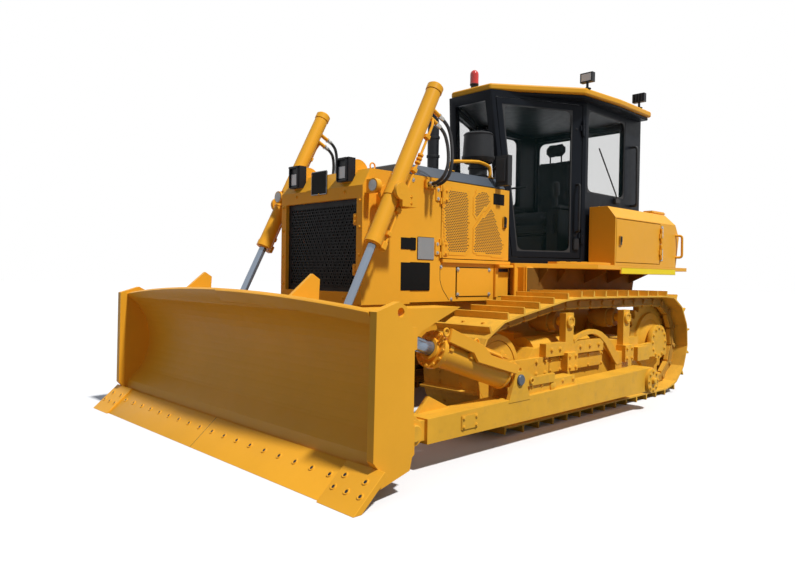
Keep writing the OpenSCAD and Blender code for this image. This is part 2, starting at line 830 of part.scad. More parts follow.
// Knuckle of a hood hinge, on the fixed panel
module hood_knuckle(z) {
    y = hood_w / 2 + hinge_out;
    translate([hood_door_x + door_gap / 2, y, z]) cylinder(r = hinge_r, h = hinge_h);
    slab([hood_door_x + door_gap / 2, hood_door_x + door_gap + 2 * hinge_r], [hood_w / 2, y],
        [z, z + hinge_h]);
}

// Bevelled cover over the engine, open underneath
module hood_top() {
    half = hood_w / 2;
    z1 = hood_z + hood_cover_h;
    color(grey) difference() {
        plate_yz([[-half, hood_z], [half, hood_z], [half - cover_bevel, z1], [-half + cover_bevel, z1]],
            cover_rear_x, guard_back_x);
        plate_yz([[-half + 2 * cover_t, hood_z - over], [half - 2 * cover_t, hood_z - over],
            [half - cover_bevel - cover_t, z1 - cover_t], [-half + cover_bevel + cover_t, z1 - cover_t]],
            cover_rear_x + cover_t, guard_back_x - cover_t);
    }
}

// Work lamps in the radiator guard
module front_lamps() {
    color(dark) both_sides() slab([lamp_back_x, lamp_front_x],
        [lamp_y - lamp_half + seat_gap, lamp_y + lamp_half - seat_gap],
        [lamp_z[0] + seat_gap, lamp_z[1] - seat_gap]);
}

// Exhaust stack with a bent outlet
module exhaust_stack() {
    z0 = hood_z + hood_cover_h;
    color(dark) translate([stack_at.x, stack_at.y, z0]) {
        difference() {
            cylinder(r = stack_r, h = stack_h);
            translate([0, 0, stack_h / 2]) cylinder(r = stack_r - stack_wall, h = stack_h);
        }
        translate([stack_bend_r, 0, stack_h]) rotate([90, 0, 180]) rotate_extrude(angle = 60)
            translate([stack_bend_r, 0]) difference() {
                circle(r = stack_r);
                circle(r = stack_r - stack_wall);
            }
    }
}

// Air pre-cleaner on its neck
module precleaner() {
    z0 = hood_z + hood_cover_h;
    neck = 150;
    lip = 40;
    bowl = 250;
    foot_r = cleaner_neck_r * cleaner_shares[0];
    brim = neck + lip * cleaner_shares[4];
    color(dark) translate([cleaner_at.x, cleaner_at.y, z0]) rotate_extrude() polygon([[0, 0],
        [foot_r, 0], [foot_r, lip / 2], [cleaner_neck_r, lip], [cleaner_neck_r, neck],
        [cleaner_r * cleaner_shares[1], neck], [cleaner_r, neck + lip], [cleaner_r, brim],
        [cleaner_r * cleaner_shares[2], brim], [cleaner_r * cleaner_shares[3], neck + bowl],
            [0, neck + bowl]]);
}

// Bent grab rail on the rear of the hood cover
module hood_rail() {
    z0 = hood_z + hood_cover_h + 3 * seat_gap;
    y = hood_w / 2 - cover_bevel - rail_set;
    color(yellow) tube([for (p = smooth(rail_points, 2)) [p.x, y, z0 + p.y]], rail_tube_r, [0, 1, 0]);
}

// Deck with its edge strips and the inner fenders
module platform() {
    front = panel_rear_x - door_gap;
    under = deck_z - deck_t;
    color(yellow) {
        translate([0, 0, under]) linear_extrude(deck_t) polygon([[front, -deck_front_half],
            [front, deck_front_half], [deck_wide_x, box_half], [deck_rear_x, box_half],
            [deck_rear_x, -box_half], [deck_wide_x, -box_half]]);
        both_sides() {
            slab(strip_x, [box_half - strip_t, box_half], [strip_z, under + over]);
            plate_xz([[fender_x[0], fender_bottom], [fender_x[1], fender_bottom], [fender_x[1], under + over],
                [fender_x[0] - fender_slant, under + over]], fender_y, fender_y + fender_t);
        }
    }
}

// Moves to wall i of the cab: x runs along the wall, y points inwards
module cab_wall_frame(i) {
    a = cab_corners[i];
    b = cab_corners[(i + 1) % len(cab_corners)];
    translate([a.x, a.y, 0]) rotate([0, 0, angle_to(a, b)]) children();
}

function wall_len(i) = norm(cab_corners[(i + 1) % len(cab_corners)] - cab_corners[i]);

// Cab shell with its door and window openings
module cab_frame() {
    color(dark) {
        difference() {
            intersection() {
                translate([0, 0, deck_z]) linear_extrude(roof_z - deck_z) polygon(cab_corners);
                cab_front_limit(0);
            }
            intersection() {
                translate([0, 0, deck_z - over]) linear_extrude(roof_z - deck_z + 2 * over) cab_inside();
                cab_front_limit(cab_wall / cos(cab_lean_a));
            }
            front_frame() plate_yz(front_outline(0), -2 * cab_wall, over);
            both_sides() cab_wall_frame(1) plate_xz(door_outline(0), -over, 2 * cab_wall);
            both_sides() cab_wall_frame(2) slab(side_window, [-over, 2 * cab_wall],
                [rear_window_z, roof_z - window_top]);
            cab_wall_frame(3) slab([window_margin, wall_len(3) - window_margin], [-over, 2 * cab_wall],
                [rear_window_z, roof_z - window_top]);
        }
        both_sides() for (z = door_hinge_z()) {
            door_knuckle(z + hinge_h + hinge_gap);
            door_knuckle(z - hinge_h - hinge_gap);
        }
    }
}

// All that lies behind the leaning front wall, less an inset
module cab_front_limit(inset) {
    low = deck_z - 2 * over;
    high = roof_z + 2 * over;
    plate_xz([[cab_rear_x - over, low], [front_x(low) - inset, low], [front_x(high) - inset, high],
        [cab_rear_x - over, high]], -cab_half - over, cab_half + over);
}

// Inner outline of the cab walls
module cab_inside() {
    w = cab_wall;
    d = w * wall_stretch;
    n = cab_nose_x + over;
    polygon([[n, -wall_y(n) + d], [n, wall_y(n) - d], [cab_wide_x, cab_half - d],
        [cab_rear_x + w, cab_rear_half - w], [cab_rear_x + w, -cab_rear_half + w],
            [cab_wide_x, -cab_half + d]]);
}

// Moves to the leaning front wall: z runs up the wall, x points outwards
module front_frame() {
    translate([front_x(deck_z), 0, deck_z]) rotate([0, cab_lean_a, 0]) children();
}

// Outlines of the front window, of a door opening and of a door's glass, each less an inset
function front_outline(inset) = let (z0 = front_window_z + inset, z1 = roof_z - window_top - inset,
    y0 = wall_y(front_x(z0)) - window_margin - inset, y1 = wall_y(front_x(z1)) - window_margin - inset,
    v0 = (z0 - deck_z) / cos(cab_lean_a), v1 = (z1 - deck_z) / cos(cab_lean_a))
    [[-y0, v0], [y0, v0], [y1, v1], [-y1, v1]];
function door_outline(inset) = let (z0 = deck_z + door_sill + inset, z1 = roof_z - door_top - inset,
    s1 = wall_len(1) - door_margin - inset, f = door_post + inset)
    [[front_s(z0) + f, z0], [s1, z0], [s1, z1], [front_s(z1) + f, z1]];
function pane_outline(inset) = let (rim = door_gap + door_rim + inset, z0 = deck_z + door_sill + rim,
    z1 = roof_z - door_top - rim, s1 = wall_len(1) - door_margin - door_gap - door_rear_rim - inset)
    [[front_s(z0) + door_post + rim, z0], [s1, z0], [s1, z1], [front_s(z1) + door_post + rim, z1]];

function door_hinge_z() = [deck_z + door_sill + 4 * hinge_h, roof_z - door_top - 5 * hinge_h];

// Moves to the left cab door's hinge line, with x along the closed door towards the front
module door_hinge_frame() {
    cab_wall_frame(1) translate([wall_len(1) - door_margin - door_gap / 2, -hinge_out, 0]) mirror([1, 0, 0])
        children();
}

module door_knuckle(z) {
    door_hinge_frame() {
        translate([0, 0, z]) cylinder(r = hinge_r, h = hinge_h);
        slab([-2 * hinge_r - door_gap, -door_gap / 2 - seat_gap], [0, hinge_out + over], [z, z + hinge_h]);
    }
}

// Window glass of the fixed cab walls
module cab_glass() {
    panes = [window_rim, window_rim + pane_t];
    heights = [rear_window_z + seat_gap, roof_z - window_top - seat_gap];
    color(glass) {
        front_frame() plate_yz(front_outline(seat_gap), -window_rim - pane_t, -window_rim);
        both_sides() cab_wall_frame(2) slab([side_window[0] + seat_gap, side_window[1] - seat_gap], panes,
            heights);
        cab_wall_frame(3) slab([window_margin + seat_gap, wall_len(3) - window_margin - seat_gap], panes,
            heights);
    }
}

// Left cab door round its glass
module cab_door() {
    color(dark) {
        cab_wall_frame(1) difference() {
            plate_xz(door_outline(door_gap), 0, door_t);
            plate_xz(pane_outline(0), -over, door_t + over);
        }
        door_hinge_frame() for (z = door_hinge_z()) {
            translate([0, 0, z]) cylinder(r = hinge_r, h = hinge_h);
            slab([0, door_gap + 2 * hinge_r], [0, hinge_out], [z, z + hinge_h]);
        }
    }
}

module door_glass() {
    color(glass) cab_wall_frame(1) plate_xz(pane_outline(seat_gap), window_rim, window_rim + pane_t);
}

module cab_door_left() { cab_door(); }

module cab_door_right() { mirror([0, 1, 0]) cab_door(); }

module door_glass_left() { door_glass(); }

module door_glass_right() { mirror([0, 1, 0]) door_glass(); }

// Roof plate, wider than the cab walls
module cab_roof() {
    n = len(roof_outline);
    right = [for (i = [n - 1 : -1 : 0]) [roof_outline[i].x, -roof_outline[i].y]];
    color(yellow) translate([0, 0, roof_z]) linear_extrude(roof_h) polygon(concat(roof_outline, right));
}

// Work lamps on the roof
module roof_lamps() {
    z0 = roof_z + roof_h;
    color(dark) both_sides() for (at = roof_lamp_at) translate([at.x, at.y, z0]) {
        cylinder(r = lamp_foot_r, h = lamp_foot_h);
        translate([-lamp_box.x / 2, -lamp_box.y / 2, lamp_foot_h]) cube(lamp_box);
    }
}

// Warning beacon on the roof
module beacon() {
    z0 = roof_z + roof_h;
    color("red") translate([beacon_at.x, beacon_at.y, z0]) cylinder(r = beacon_r, h = beacon_h);
}

// Mirrors on bent arms at the rear of the hood cover
module mirrors() {
    z0 = hood_z + hood_cover_h + seat_gap;
    foot = [mirror_x[0], mirror_y[0]];
    arm = [mirror_x[1], mirror_y[1] + rail_tube_r] - foot;
    head = [mirror_x[1] - 2 * rail_tube_r, mirror_x[1] + 2 * rail_tube_r];
    color(dark) both_sides() {
        translate([foot.x, foot.y, z0]) cylinder(r = rail_tube_r, h = mirror_arm_z - z0 + rail_tube_r);
        translate([foot.x, foot.y, mirror_arm_z]) rotate([0, 90, atan2(arm.y, arm.x)])
            cylinder(r = rail_tube_r, h = norm(arm));
        slab(head, [mirror_y[1], mirror_y[2]], mirror_z);
    }
}

// Operator's seat on its base
module seat() {
    base = seat_w * seat_base_share;
    color(dark) {
        slab([seat_x - base / 2, seat_x + base / 2], [-base / 2, base / 2], [deck_z, deck_z + seat_h]);
        slab([seat_x - seat_w / 2, seat_x + seat_w / 2], [-seat_w / 2, seat_w / 2],
            [deck_z + seat_h, deck_z + seat_h + seat_t]);
        slab([seat_x - seat_w / 2 - seat_t, seat_x - seat_w / 2], [-seat_w / 2, seat_w / 2],
            [deck_z + seat_h, deck_z + seat_h + seat_t + seat_back_h]);
    }
}

// Front dash and the armrest consoles with their levers
module console() {
    dash = [200, 320, 620];
    pod = [480, 130, 560];
    lever_r = 14;
    lever_h = 180;
    front = front_x(deck_z) - cab_wall / cos(cab_lean_a) - seat_gap;
    color(dark) {
        slab([front - dash.x, front], [-dash.y / 2, dash.y / 2], [deck_z, deck_z + dash.z]);
        both_sides() {
            slab([seat_x - pod.x / 2, seat_x + pod.x / 2], [seat_w / 2 + over, seat_w / 2 + over + pod.y],
                [deck_z, deck_z + pod.z]);
            translate([seat_x + pod.x / 3, seat_w / 2 + over + pod.y / 2, deck_z + pod.z])
                cylinder(r = lever_r, h = lever_h);
        }
    }
}

// Side boxes behind the cab doors, with a bevelled top edge, open behind their own doors
module side_boxes() {
    front = box_front_x + over;
    color(yellow) both_sides() {
        difference() {
            intersection() {
                plate_yz([[box_inner, deck_z], [box_half, deck_z], [box_half, box_top - box_bevel.y],
                    [box_half - box_bevel.x, box_top], [box_inner, box_top]], box_rear_x, box_front_x);
                plate_xz(concat([[front, deck_z - 2 * over], [front, box_top + 2 * over]], box_tail), 0,
                    box_half + over);
            }
            slab(box_door_x, [box_inner + box_wall, box_half + over], box_door_z);
        }
        for (z = box_hinge_z()) {
            box_knuckle(z + hinge_h + hinge_gap);
            box_knuckle(z - hinge_h - hinge_gap);
        }
    }
}

function box_hinge_z() = [box_door_z[0] + 2 * hinge_h, box_door_z[1] - 3 * hinge_h];

module box_knuckle(z) {
    y = box_half + hinge_out;
    x = box_door_x[0] + door_gap / 2;
    translate([x, y, z]) cylinder(r = hinge_r, h = hinge_h);
    slab([x - door_gap - 2 * hinge_r, x], [box_half, y], [z, z + hinge_h]);
}

// Left side box door with its latch
module box_door() {
    x0 = box_door_x[0] + door_gap;
    x1 = box_door_x[1] - door_gap;
    z0 = box_door_z[0] + door_gap;
    z1 = box_door_z[1] - door_gap;
    y = box_half + hinge_out;
    color(yellow) {
        slab([x0, x1], [box_half - box_door_t, box_half], [z0, z1]);
        slab([x1 - 2 * latch_w, x1 - latch_w], [box_half, box_half + latch_t],
            [(z0 + z1 - latch_h) / 2, (z0 + z1 + latch_h) / 2]);
        for (z = box_hinge_z()) {
            translate([box_door_x[0] + door_gap / 2, y, z]) cylinder(r = hinge_r, h = hinge_h);
            slab([box_door_x[0] + door_gap / 2, x0 + 2 * hinge_r], [box_half, y], [z, z + hinge_h]);
        }
    }
}

module box_door_left() { box_door(); }

module box_door_right() { mirror([0, 1, 0]) box_door(); }

// Fuel tank across the rear
module fuel_tank() {
    color(yellow) plate_xz([[tank_rear_x, deck_z], [tank_front_x, deck_z], [tank_front_x, deck_z + tank_h],
        [tank_rear_x + tank_bevel, deck_z + tank_h], [tank_rear_x, deck_z + tank_h - tank_bevel]],
        -tank_half, tank_half);
}

// Drawbar with two jaws and a pin bore
module drawbar() {
    color(yellow) difference() {
        slab([hitch_rear_x, case_rear_x], [-hitch_half, hitch_half], hitch_z);
        slab([hitch_rear_x - over, hitch_rear_x + 2 * hitch_half], [-hitch_half - over, hitch_half + over],
            [hitch_z[0] + hitch_t, hitch_z[1] - hitch_t]);
        translate([hitch_rear_x + hitch_half, 0, hitch_z[0] - over])
            cylinder(r = hitch_hole_r, h = hitch_z[1] - hitch_z[0] + 2 * over);
    }
}

// Moves to a left lift cylinder: z runs from the trunnion towards the rod eye
module lift_frame() {
    translate([lift_x, lift_y, lift_z]) rotate([0, 180 - lift_lean, 0]) children();
}

// Left lift barrel with its trunnion ring, pins and ports
module lift_barrel() {
    reach = lift_barrel_r + tine_gap + tine_t;
    color(yellow) lift_frame() difference() {
        union() {
            translate([0, 0, -lift_top_l]) cylinder(r = lift_barrel_r, h = lift_top_l + lift_bottom_l);
            translate([0, 0, -lift_top_l]) cylinder(r = lift_barrel_r + lift_cap_extra, h = lift_cap_l);
            translate([0, 0, lift_bottom_l - lift_cap_l])
                cylinder(r = lift_barrel_r + lift_cap_extra, h = lift_cap_l);
            translate([0, 0, -lift_ring_l]) cylinder(r = lift_barrel_r + lift_cap_extra, h = 2 * lift_ring_l);
            bar_y(0, 0, lift_pin_r, -reach, reach);
            for (l = port_l) bar_x(0, l, port_r, 0, port_reach + lift_barrel_r);
        }
        translate([0, 0, lift_bore_top]) cylinder(r = lift_rod_r + run_gap, h = lift_top_l + lift_bottom_l);
    }
}

// Left lift rod with its eye
module lift_rod() {
    color(steel) lift_frame() {
        translate([0, 0, lift_rod_in]) cylinder(r = lift_rod_r, h = lift_l - lift_rod_in);
        bar_y(0, lift_l, lift_eye_r, -lift_eye_half, lift_eye_half);
    }
}

module lift_barrel_left() { lift_barrel(); }

module lift_barrel_right() { mirror([0, 1, 0]) lift_barrel(); }

module lift_rod_left() { lift_rod(); }

module lift_rod_right() { mirror([0, 1, 0]) lift_rod(); }

// Mouldboard with its end plates, back beams and brackets
module moldboard() {
    a0 = 180 + asin((mold_z - mold_low_z) / mold_r);
    a1 = 180 - asin((lip_z - mold_z) / mold_r);
    steps = 16;
    face = [for (i = [0 : steps]) on_circle(mold_c, mold_r, a0 + (a1 - a0) * i / steps)];
    back = [for (i = [steps : -1 : 0]) on_circle(mold_c, mold_r + mold_t, a0 + (a1 - a0) * i / steps)];
    color(yellow) {
        plate_xz(concat(face, back), -end_plate_in - over, end_plate_in + over);
        top_lip(a1);
        both_sides() {
            end_plate();
            lift_ears();
            ball_ears();
            horn();
        }
        lower_beam(a0);
        difference() {
            union() {
                upper_beam();
                both_sides() tilt_bracket();
            }
            both_sides() tilt_slot();
        }
    }
}

// Upper lip that rises in a flat curve to the middle
module top_lip(a) {
    foot = on_circle(mold_c, mold_r + mold_t, a);
    half = end_plate_in + over;
    steps = 12;
    crest = [for (i = [0 : steps]) let (y = half - 2 * half * i / steps)
        [y, (blade_h + blade_arch * (1 - pow(y / half, 2)) - foot.y) / cos(lip_lean)]];
    translate([foot.x, 0, foot.y]) rotate([0, lip_lean, 0])
        plate_yz(concat([[-half, -lip_low], [half, -lip_low]], crest), lip_set, lip_set + lip_t);
}

// End plate with its lifting hole
module end_plate() {
    y1 = end_plate_in + end_plate_t;
    difference() {
        plate_xz([[plate_front_x, blade_h], [plate_peak_x, blade_h + plate_peak_h],
            [plate_shoulder_x, blade_h + plate_shoulder_h], plate_back[0], plate_back[1], plate_heel,
                plate_sole,
            edge_back + edge_dir * seat_l, edge_back, edge_back + edge_out * plate_step], end_plate_in, y1);
        bar_y(lift_hole_x, blade_h - lift_hole_set, lift_hole_r, end_plate_in - over, y1 + over);
    }
}

// Box beam behind the cutting edge
module lower_beam(a) {
    plate_xz([edge_back + edge_dir * seat_l, edge_back, on_circle(mold_c, mold_r, a),
        on_circle(mold_c, mold_r + mold_t / 2, beam_low_a), [beam_back_x, low_beam_z[1]],
        [beam_back_x, low_beam_z[0]], plate_sole], -end_plate_in, end_plate_in);
}

// Box beam behind the upper half
module upper_beam() {
    plate_xz([on_circle(mold_c, mold_r + mold_t / 2, beam_high_a[0]),
        on_circle(mold_c, mold_r + mold_t / 2, beam_high_a[1]), [high_beam_x, high_beam_z[1]],
        [high_beam_x, high_beam_z[0]]], -end_plate_in, end_plate_in);
}

// Pair of ears for a lift rod's eye, with bosses outside
module lift_ears() {
    gap = lift_eye_half + eye_gap;
    r = lift_eye_r * lift_ear_share;
    for (y = [lift_y - gap - ear_t, lift_y + gap]) {
        bar_y(lift_eye_x, lift_eye_z, r, y, y + ear_t);
        plate_xz([[lift_eye_x, lift_eye_z - r * ear_share], [mold_c.x - mold_r, lift_eye_z - r * 2],
            [mold_c.x - mold_r, lift_eye_z + r * 2], [lift_eye_x, lift_eye_z + r * ear_share]], y, y + ear_t);
    }
    for (y = [lift_y - gap - 2 * ear_t, lift_y + gap + ear_t])
        bar_y(lift_eye_x, lift_eye_z, lift_eye_r * pin_cap_share, y, y + ear_t);
}

// Pair of ears with the ball that a push arm holds
module ball_ears() {
    gap = eye_half + ball_gap;
    r = ball_r * ball_ear_share;
    for (y = [arm_y - gap - ear_t, arm_y + gap]) {
        bar_y(ball_x, arm_z, r, y, y + ear_t);
        plate_xz([[ball_x, arm_z - r * ear_share], [beam_back_x + over, low_beam_z[0]],
            [beam_back_x + over, low_beam_z[1]], [ball_x, arm_z + r * ear_share]], y, y + ear_t);
    }
    bar_y(ball_x, arm_z, ball_pin_r, arm_y - gap, arm_y + gap);
    translate([ball_x, arm_y, arm_z]) sphere(r = ball_r);
}

// Wedge-shaped bracket over the tilt rod
module tilt_bracket() {
    half = tilt_slot_half + cheek_t;
    back = on_circle(mold_c, mold_r + mold_t / 2, beam_high_a[1]);
    plate_xz([wedge_tip, wedge_low, [tilt_eye_x - tilt_eye_r - tilt_gap, tilt_eye_z - tilt_eye_r],
        [tilt_slot_x, tilt_eye_z - tilt_eye_r], back, [back.x + wedge_front, wedge_tip.y]],
        arm_y - half, arm_y + half);
}

// Slot for the eye of the tilt rod or the brace
module tilt_slot() {
    slab([wedge_low.x - over, tilt_slot_x], [arm_y - tilt_slot_half, arm_y + tilt_slot_half],
        [tilt_eye_z - 2 * tilt_eye_r, tilt_eye_z + tilt_eye_r + tilt_gap]);
}

// Triangular horn in front of a lift rod
module horn() {
    plate_xz(horn_outline, horn_y - horn_t / 2, horn_y + horn_t / 2);
}

// Cutting edge with separate end bits, all flat on the ground
module cutting_edge() {
    heel = edge_back + edge_dir * edge_back.y / -edge_dir.y;
    bit_top = edge_top + bit_extra * edge_out;
    bit_tip = bit_top + edge_dir * bit_top.y / -edge_dir.y;
    color(yellow) {
        plate_xz([edge_top, [edge_tip_x, 0], heel, edge_back], -bit_in + bit_gap, bit_in - bit_gap);
        both_sides() plate_xz([bit_top, bit_tip, heel, edge_back], bit_in, blade_w / 2);
    }
}

// Push arm, with its eyes, clevis and guard box
module push_arm(bore_r) {
    y0 = arm_y - arm_w / 2;
    y1 = arm_y + arm_w / 2;
    gap = clevis_eye_half + clevis_gap;
    color(yellow) difference() {
        union() {
            plate_xz([[trunnion_x, arm_bottom], [arm_front_x, arm_bottom], [arm_front_x, arm_top_front],
                [trunnion_x, arm_top_rear]], y0, y1);
            bar_y(trunnion_x, arm_z, hub_outer_r, y0, y1);
            slab([arm_front_x - over, ball_x], [arm_y - eye_half, arm_y + eye_half],
                [arm_bottom + arm_neck, arm_top_front - arm_neck / 2]);
            bar_y(ball_x, arm_z, eye_r, arm_y - eye_half, arm_y + eye_half);
            for (y = [arm_y - gap - ear_t, arm_y + gap]) clevis_ear(y);
            plate_xz([[gusset_x[0], arm_bottom], [gusset_x[1], arm_bottom], [gusset_x[1], arm_top_front],
                [(gusset_x[0] + gusset_x[1]) / 2, arm_top_front + gusset_h],
                [gusset_x[0] - gusset_h, arm_top_front]], y0, y0 + ear_t);
            plate_xz([[arm_box_x[0], arm_bottom], [arm_box_x[1], arm_bottom],
                [arm_box_x[1], arm_top_front + arm_box_h], [arm_box_x[0], arm_top_rear + arm_box_h / 2]],
                y0 + ear_t, y1 - ear_t);
        }
        bar_y(trunnion_x, arm_z, trunnion_r + run_gap, y0 - over, y1 + over);
        bar_y(ball_x, arm_z, bore_r, y0, y1);
    }
}

// One ear of the clevis on top of an arm
module clevis_ear(y) {
    side = clevis_r * clevis_shares.x;
    rise = clevis_r * clevis_shares.y;
    bar_y(tilt_x, tilt_z, clevis_r, y, y + ear_t);
    plate_xz([[tilt_x - 2 * clevis_r, arm_top_front - over], [tilt_x + 2 * clevis_r, arm_top_front - over],
        [tilt_x + side, tilt_z + rise], [tilt_x - side, tilt_z + rise]], y, y + ear_t);
}

module left_arm() {
    gap = clevis_eye_half + clevis_gap;
    push_arm(ball_r + left_ball_gap);
    color(yellow) {
        bar_y(tilt_x, tilt_z, tilt_pin_r, arm_y - gap, arm_y + gap);
        translate([tilt_x, arm_y, tilt_z]) sphere(r = tilt_ball_r);
    }
}

module right_arm() {
    gap = clevis_eye_half + clevis_gap;
    mirror([0, 1, 0]) {
        push_arm(ball_r + run_gap);
        color(yellow) bar_y(tilt_x, tilt_z, brace_pin_r, arm_y - gap, arm_y + gap);
    }
}

// Round caps over the ends of the arm trunnions
module trunnion_caps() {
    y = arm_y + arm_w / 2 + seat_gap;
    color(yellow) both_sides() bar_y(trunnion_x, arm_z, cap_r, y, y + cap_t);
}

// Moves to the tilt cylinder: x runs from the clevis pin to the rod eye
module tilt_frame() {
    translate([tilt_x, arm_y, tilt_z]) rotate([0, -tilt_lean, 0]) children();
}

// Rigid brace on the right side, where the left side has the tilt cylinder
module brace() {
    half = tilt_eye_half + tilt_gap - seat_gap;
    color(yellow) mirror([0, 1, 0]) tilt_frame() difference() {
        union() {
            bar_x(0, 0, brace_neck_r, 0, tilt_l);
            bar_x(0, 0, brace_r, brace_neck_l, tilt_l);
            bar_y(0, 0, clevis_r, -clevis_eye_half, clevis_eye_half);
            bar_y(tilt_l, 0, tilt_eye_r, -half, half);
        }
        bar_y(0, 0, brace_pin_r + brace_gap / 2, -brace_r - over, brace_r + over);
    }
}

// Tilt barrel with its ball eye, gland flange and guard strip
module tilt_barrel() {
    r = tilt_barrel_r;
    color(yellow) tilt_frame() {
        difference() {
            union() {
                bar_x(0, 0, r, tilt_barrel_l[0], tilt_barrel_l[1]);
                bar_x(0, 0, r + tilt_flange_extra, tilt_barrel_l[1] - tilt_flange_l, tilt_barrel_l[1]);
                bar_x(0, 0, tilt_neck_r, 0, tilt_barrel_l[0]);
                bar_y(0, 0, clevis_r, -clevis_eye_half, clevis_eye_half);
            }
            bar_y(0, 0, tilt_ball_r + run_gap, -tilt_neck_r - over, tilt_neck_r + over);
            bar_x(0, 0, tilt_rod_r + run_gap, tilt_bore_l, tilt_barrel_l[1] + over);
        }
        slab(tilt_guard_l, [-r, r], [r + tilt_guard_lift, r + tilt_guard_lift + tilt_guard_t]);
        for (x = tilt_guard_l) slab([x - tilt_guard_t / 2, x + tilt_guard_t / 2], [-r / 3, r / 3],
            [r - tilt_guard_t, r + tilt_guard_lift + tilt_guard_t]);
    }
}

// Tilt rod with its eye
module tilt_rod() {
    color(steel) tilt_frame() {
        bar_x(0, 0, tilt_rod_r, tilt_rod_in, tilt_l);
        bar_y(tilt_l, 0, tilt_eye_r, -tilt_eye_half, tilt_eye_half);
    }
}

// Hood door with two fields of slots, hinged at its front edge
module hood_door() {
    half = hood_w / 2;
    x0 = hood_door_x - hood_door_l;
    z1 = hood_z - door_gap;
    rim = [[x0, hood_door_z], [hood_door_x, hood_door_z], [hood_door_x, z1], [x0, z1]];
    slots = [for (i = [0 : perf_cols]) for (j = [0 : perf_rows]) let (p = perf_at(i, j)) if (perf_keep(p))
        for (c = [[0, 0], [1, 0], [1, 1], [0, 1]]) p + [c.x * perf_w, c.y * perf_h]];
    holes = [for (h = [0 : len(slots) / 4 - 1]) span(4 + h * 4, 8 + h * 4)];
    y = half + hinge_out;
    color(yellow) {
        translate([0, half, 0]) rotate([90, 0, 0]) linear_extrude(panel_t)
            polygon(concat(rim, slots), concat([span(0, 4)], holes));
        slab([x0 + latch_w, x0 + 2 * latch_w], [half, half + latch_t], latch_z);
        for (z = [hood_door_z + hinge_h, hood_z - 3 * hinge_h]) {
            translate([hood_door_x + door_gap / 2, y, z]) cylinder(r = hinge_r, h = hinge_h);
            slab([hood_door_x - 2 * hinge_r, hood_door_x + door_gap / 2], [half, y], [z, z + hinge_h]);
        }
    }
}

function perf_at(i, j) = [hood_door_x - hood_door_l + perf_margin + (i + (j % 2) / 2) * perf_pitch_x,
    hood_door_z + perf_margin + j * perf_pitch_z];
// A slot stays where its middle lies in one of the three fields, given clockwise as seen from the left
function perf_keep(p) = let (m = p + [perf_w, perf_h] / 2)
    in_field(front_field, m) || in_field(upper_field, m) || in_field(lower_field, m);
function in_field(f, p) = min([for (i = [0 : len(f) - 1]) let (a = f[i], b = f[(i + 1) % len(f)])
    cross(b - a, p - a)]) > 0;

module hood_door_left() { hood_door(); }

module hood_door_right() { mirror([0, 1, 0]) hood_door(); }

// Smooth path through a hose's points
function curve(p, i, t) = let (a = p[max(i - 1, 0)], b = p[i], c = p[i + 1], d = p[min(i + 2, len(p) - 1)])
    0.5 * (2 * b + (c - a) * t + (2 * a - 5 * b + 4 * c - d) * t * t + (3 * b - a - 3 * c + d) * t * t * t);
function smooth(p, n) = concat([for (i = [0 : len(p) - 2]) for (k = [0 : n - 1]) curve(p, i, k / n)],
    [p[len(p) - 1]]);
function unit(v) = v / norm(v);

// Round tube swept along a path
module tube(path, r, across = [1, 0, 0]) {
    sides = 8;
    n = len(path);
    rings = [for (i = [0 : n - 1])
        let (t = unit(path[min(i + 1, n - 1)] - path[max(i - 1, 0)]), u = unit(cross(t, across)),
            v = cross(t, u))
        for (k = [0 : sides - 1]) path[i] + r * (cos(k * 360 / sides) * u + sin(k * 360 / sides) * v)];
    sheet = [for (i = [0 : n - 2]) for (k = [0 : sides - 1]) let (m = (k + 1) % sides)
        [i * sides + k, i * sides + m, (i + 1) * sides + m, (i + 1) * sides + k]];
    polyhedron(rings, concat([[for (k = [sides - 1 : -1 : 0]) k]], sheet,
        [[for (k = [0 : sides - 1]) (n - 1) * sides + k]]));
}

function port_end(l, out) = let (reach = port_reach + lift_barrel_r + out)
    [lift_x + l * sin(lift_lean) - reach * cos(lift_lean), lift_y,
        lift_z - l * cos(lift_lean) - reach * sin(lift_lean)];

// Hose from a barrel port to its fitting on the hood
module hose(i) {
    bends = i == 0 ? hose_bends_upper : hose_bends_lower;
    finish = [fitting_x[1 - i], hood_w / 2 + fitting_l, fitting_z];
    starts = [for (out = [hose_gap, hose_lead]) port_end(port_l[i], out)];
    ends = [for (out = [hose_lead, hose_gap]) finish + [0, out, 0]];
    color(dark) tube(concat([starts[0]], smooth(concat([starts[1]], bends, [ends[0]]), 2), [ends[1]]),
        hose_r);
}

module hose_left_upper() { hose(0); }

module hose_left_lower() { hose(1); }

module hose_right_upper() { mirror([0, 1, 0]) hose(0); }

module hose_right_lower() { mirror([0, 1, 0]) hose(1); }

main_frame();
engine_block();
radiator_guard();
grille();
radiator_core();
hood_panels();
hood_top();
front_lamps();
exhaust_stack();
precleaner();
hood_rail();
track_left();
track_right();
track_frames();
track_rollers();
carrier_rollers();
idlers();
sprockets();
final_drives();
platform();
cab_frame();
cab_roof();
cab_glass();
seat();
console();
roof_lamps();
beacon();
mirrors();
side_boxes();
fuel_tank();
drawbar();
lift_barrel_left();
lift_barrel_right();
lift_rod_left();
lift_rod_right();
trunnion_caps();
left_arm();
right_arm();
moldboard();
cutting_edge();
brace();
tilt_barrel();
tilt_rod();
cab_door_left();
cab_door_right();
door_glass_left();
door_glass_right();
hood_door_left();
hood_door_right();
box_door_left();
box_door_right();
hose_left_upper();
hose_left_lower();
hose_right_upper();
hose_right_lower();
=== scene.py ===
import math

import bmesh
import bpy
from mathutils import Matrix, Vector


